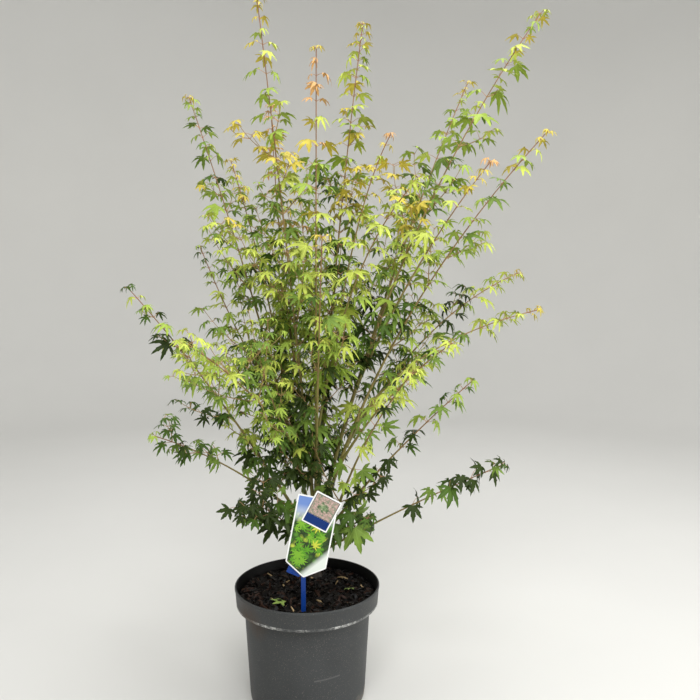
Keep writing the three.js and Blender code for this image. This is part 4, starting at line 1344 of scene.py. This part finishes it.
class MAPLE_OT_label(bpy.types.Operator):
    """Plant label: a blue stick and tag, a pointed card and a small card, with generic prints"""

    bl_idname = "maple.label"
    bl_label = "Build Label"

    def execute(self, context):
        settings = context.scene.maple_label
        blue = plastic_material("blue polystyrene", settings.plastic, 0.32)
        white = plastic_material("white coated card", settings.card, 0.38)
        stick_low, stick_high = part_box("label_stick")
        card_low, card_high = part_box("label_card")
        small_low, small_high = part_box("label_small_card")

        def placed(x, y, z, turn):
            upright = Matrix.Rotation(QUARTER_TURN, 4, "X") @ Matrix.Rotation(-turn, 4, "Z")
            return Matrix.Translation((x, y, z)) @ upright

        # The stick widens to a head, and a rib runs up its front. The tag hangs behind it.
        middle = (stick_low.x + stick_high.x) / 2
        reach = stick_high.z - stick_low.z
        half, head = 4.3 * MM, (stick_high.x - stick_low.x) / 2
        neck = reach - 20 * MM
        stick = [
            (-half, 0), (half, 0), (half, neck), (head, neck), (head, reach), (-head, reach),
            (-head, neck), (-half, neck),
        ]
        depth = stick_high.y - stick_low.y
        place = placed(middle, stick_high.y, stick_low.z, 0)
        plate(
            "label_post", rounded(stick, 0.9 * MM, 2), depth, 0, place, blue,
            ["label_stick"], 0.35 * MM,
        )
        rib = box_outline(-1.1 * MM, 8 * MM, 1.1 * MM, neck)
        plate("label_post_rib", rib, 0.25 * MM, depth, place, blue)
        tag = rounded(box_outline(-13 * MM, -20 * MM, 13 * MM, 20 * MM), 2 * MM)
        place = placed(-13.5 * MM, stick_high.y + 1.1 * MM, 294 * MM, TAG_TURN)
        plate("label_tag", tag, 0.8 * MM, 0, place, blue, edge=0.2 * MM)

        width, shoulder, height = 75 * MM, 24 * MM, 152 * MM
        depth = card_high.y - card_low.y

        def pentagon(inset):
            """The card's outline, drawn in by an even border."""
            side = width / 2 - inset
            slope = math.hypot(shoulder, width / 2) / (width / 2)
            point = inset * slope
            corner = point + shoulder * side / (width / 2)
            top = height - inset
            return [(0, point), (side, corner), (side, top), (-side, top), (-side, corner)]

        place = placed(middle, card_high.y, 271 * MM, LABEL_TURN)
        card = rounded(pentagon(0), 2.2 * MM)
        plate(
            "label_pointed_card", card, depth, 0, place, white, ["label_card"], 0.2 * MM
        )
        inner = rounded(pentagon(settings.border), 1.6 * MM)
        leafy = leafy_print_material(settings)
        plate("label_print", inner, PRINT_THICKNESS, depth, place, leafy)

        def on_print(corner):
            """Whether a printed point stays on the leafy part of the card."""
            side = width / 2 - settings.border - 0.6 * MM
            slant = shoulder / (width / 2)
            pale = corner.x > 4 * MM and corner.y < 44 * MM
            low = settings.border * 1.3 + abs(corner.x) * slant
            return abs(corner.x) < side and low < corner.y < 112 * MM and not pale

        inks = (
            ("mid", settings.leaf, 18), ("light", linear("#7cb035"), 13), ("yellow", linear("#c9cf48"), 2),
        )
        for index, (tone_name, tone, count) in enumerate(inks):
            ink = plastic_material(f"{tone_name} green print", tone, 0.35)
            above = depth + PRINT_THICKNESS + (0.03 + 0.22 * index) * MM
            printed_leaves(f"print_leaves_{tone_name}", count, 31 + index, on_print, place, above, ink)

        side, half = 51 * MM / 2, 62 * MM / 2
        place = placed(32 * MM, small_high.y, 394 * MM, SMALL_CARD_TURN)
        depth = small_high.y - small_low.y
        small = rounded(box_outline(-side, -half, side, half), 2.4 * MM)
        plate(
            "label_square_card", small, depth, 0, place, white, ["label_small_card"], 0.2 * MM
        )
        left, right = -side + settings.border, side - settings.border
        split = -half + 19 * MM
        picture = box_outline(left, split, right, half - settings.border)
        mottled = small_print_material()
        plate("square_card_print", picture, PRINT_THICKNESS, depth, place, mottled)
        band = box_outline(left, -half + settings.border, right, split - 0.2 * MM)
        navy = plastic_material("blue print on card", settings.band, 0.35)
        plate("square_card_band", band, PRINT_THICKNESS, depth, place, navy)
        return {"FINISHED"}


def stage_material(tone):
    """Painted board: pale and matt, very faintly clouded."""
    material, tree, place = new_material("painted backdrop")
    cloud = add(tree, "ShaderNodeTexNoise", {"Vector": place, "Scale": per_mm(600), "Detail": 3})
    paint = add(tree, "ShaderNodeValToRGB", {0: cloud}, ((0.3, shade(tone, 0.97)), (0.7, tone)))
    return painted(material, Base_Color=paint, Roughness=0.8)


class MAPLE_OT_stage(bpy.types.Operator):
    """Pale floor that curves up into a backdrop all round, soft lights and the camera"""

    bl_idname = "maple.stage"
    bl_label = "Build Stage"

    def execute(self, context):
        settings = context.scene.maple_stage
        flat, bend, wall_top = 3.0, 1.4, 4.2
        profile = [(0, 0), (flat * 0.5, 0), (flat, 0)]
        for i in range(1, 13):
            angle = QUARTER_TURN * i / 12
            profile.append((flat + bend * math.sin(angle), bend * (1 - math.cos(angle))))
        profile += [(flat + bend, wall_top), (0, wall_top)]
        points, faces = lathe(profile, 96)
        # The lid is left off, and the faces point inwards.
        walls = [tuple(reversed(face)) for face in faces if len(points) - 1 not in face]
        mesh = mesh_of("backdrop", points[:-1], walls)
        new_object("backdrop", mesh, stage_material(settings.floor))

        scene = context.scene
        scene.world = bpy.data.worlds.new("room light")
        scene.world.use_nodes = True
        tree = scene.world.node_tree
        feed(tree, tree.nodes["Background"], {"Color": settings.sky, "Strength": 0.42})
        for name, place, target, size, share in (
            ("key", (0.1, -2.1, 3.0), (0, 0, 0.7), 1.6, 1),
            ("top", (0.6, 0.5, 3.4), (0, 0, 0.5), 2.2, 0.8),
            ("right fill", (2.3, -1.3, 1.1), (0, 0, 0.4), 1.5, 0.44),
        ):
            light = bpy.data.lights.new(name, "AREA")
            light.energy = settings.key_power * share
            light.size = size
            lamp = bpy.data.objects.new(name, light)
            lamp.location = place
            lamp.rotation_euler = (Vector(target) - Vector(place)).to_track_quat("-Z", "Y").to_euler()
            scene.collection.objects.link(lamp)

        camera = bpy.data.cameras.new("camera")
        camera.sensor_width = 36
        camera.lens = 39.2
        tilt_down = 5.2
        scene.camera = bpy.data.objects.new("camera", camera)
        scene.camera.location = (0.083, -1.437, 0.809)
        scene.camera.rotation_euler = (math.radians(90 - tilt_down), 0, 0)
        scene.collection.objects.link(scene.camera)
        scene.view_settings.view_transform = "Standard"
        return {"FINISHED"}


class MAPLE_PT_panel(bpy.types.Panel):
    bl_label = "Potted Japanese Maple"
    bl_idname = "MAPLE_PT_panel"
    bl_space_type = "VIEW_3D"
    bl_region_type = "UI"
    bl_category = "Maple"

    def draw(self, context):
        for operator, settings_name in PARTS:
            box = self.layout.box()
            settings = getattr(context.scene, settings_name)
            for key in settings.__annotations__:
                box.prop(settings, key)
            box.operator(operator.bl_idname)


GROUPS = {
    "maple_stage": StageSettings,
    "maple_pot": PotSettings,
    "maple_compost": CompostSettings,
    "maple_label": LabelSettings,
    "maple_shrub": ShrubSettings,
}
# The operators in the order in which they run, each with the settings that it reads.
PARTS = (
    (MAPLE_OT_stage, "maple_stage"),
    (MAPLE_OT_pot, "maple_pot"),
    (MAPLE_OT_compost, "maple_compost"),
    (MAPLE_OT_label, "maple_label"),
    (MAPLE_OT_stems, "maple_shrub"),
    (MAPLE_OT_foliage, "maple_shrub"),
)
CLASSES = (*GROUPS.values(), *(operator for operator, _ in PARTS), MAPLE_PT_panel)


def register():
    for kind in CLASSES:
        bpy.utils.register_class(kind)
    for name, group in GROUPS.items():
        setattr(bpy.types.Scene, name, PointerProperty(type=group))


def unregister():
    for name in GROUPS:
        delattr(bpy.types.Scene, name)
    for kind in reversed(CLASSES):
        bpy.utils.unregister_class(kind)


def main():
    register()
    for operator, _ in PARTS:
        getattr(bpy.ops.maple, operator.bl_idname.split(".")[1])()


if __name__ == "__main__":
    main()
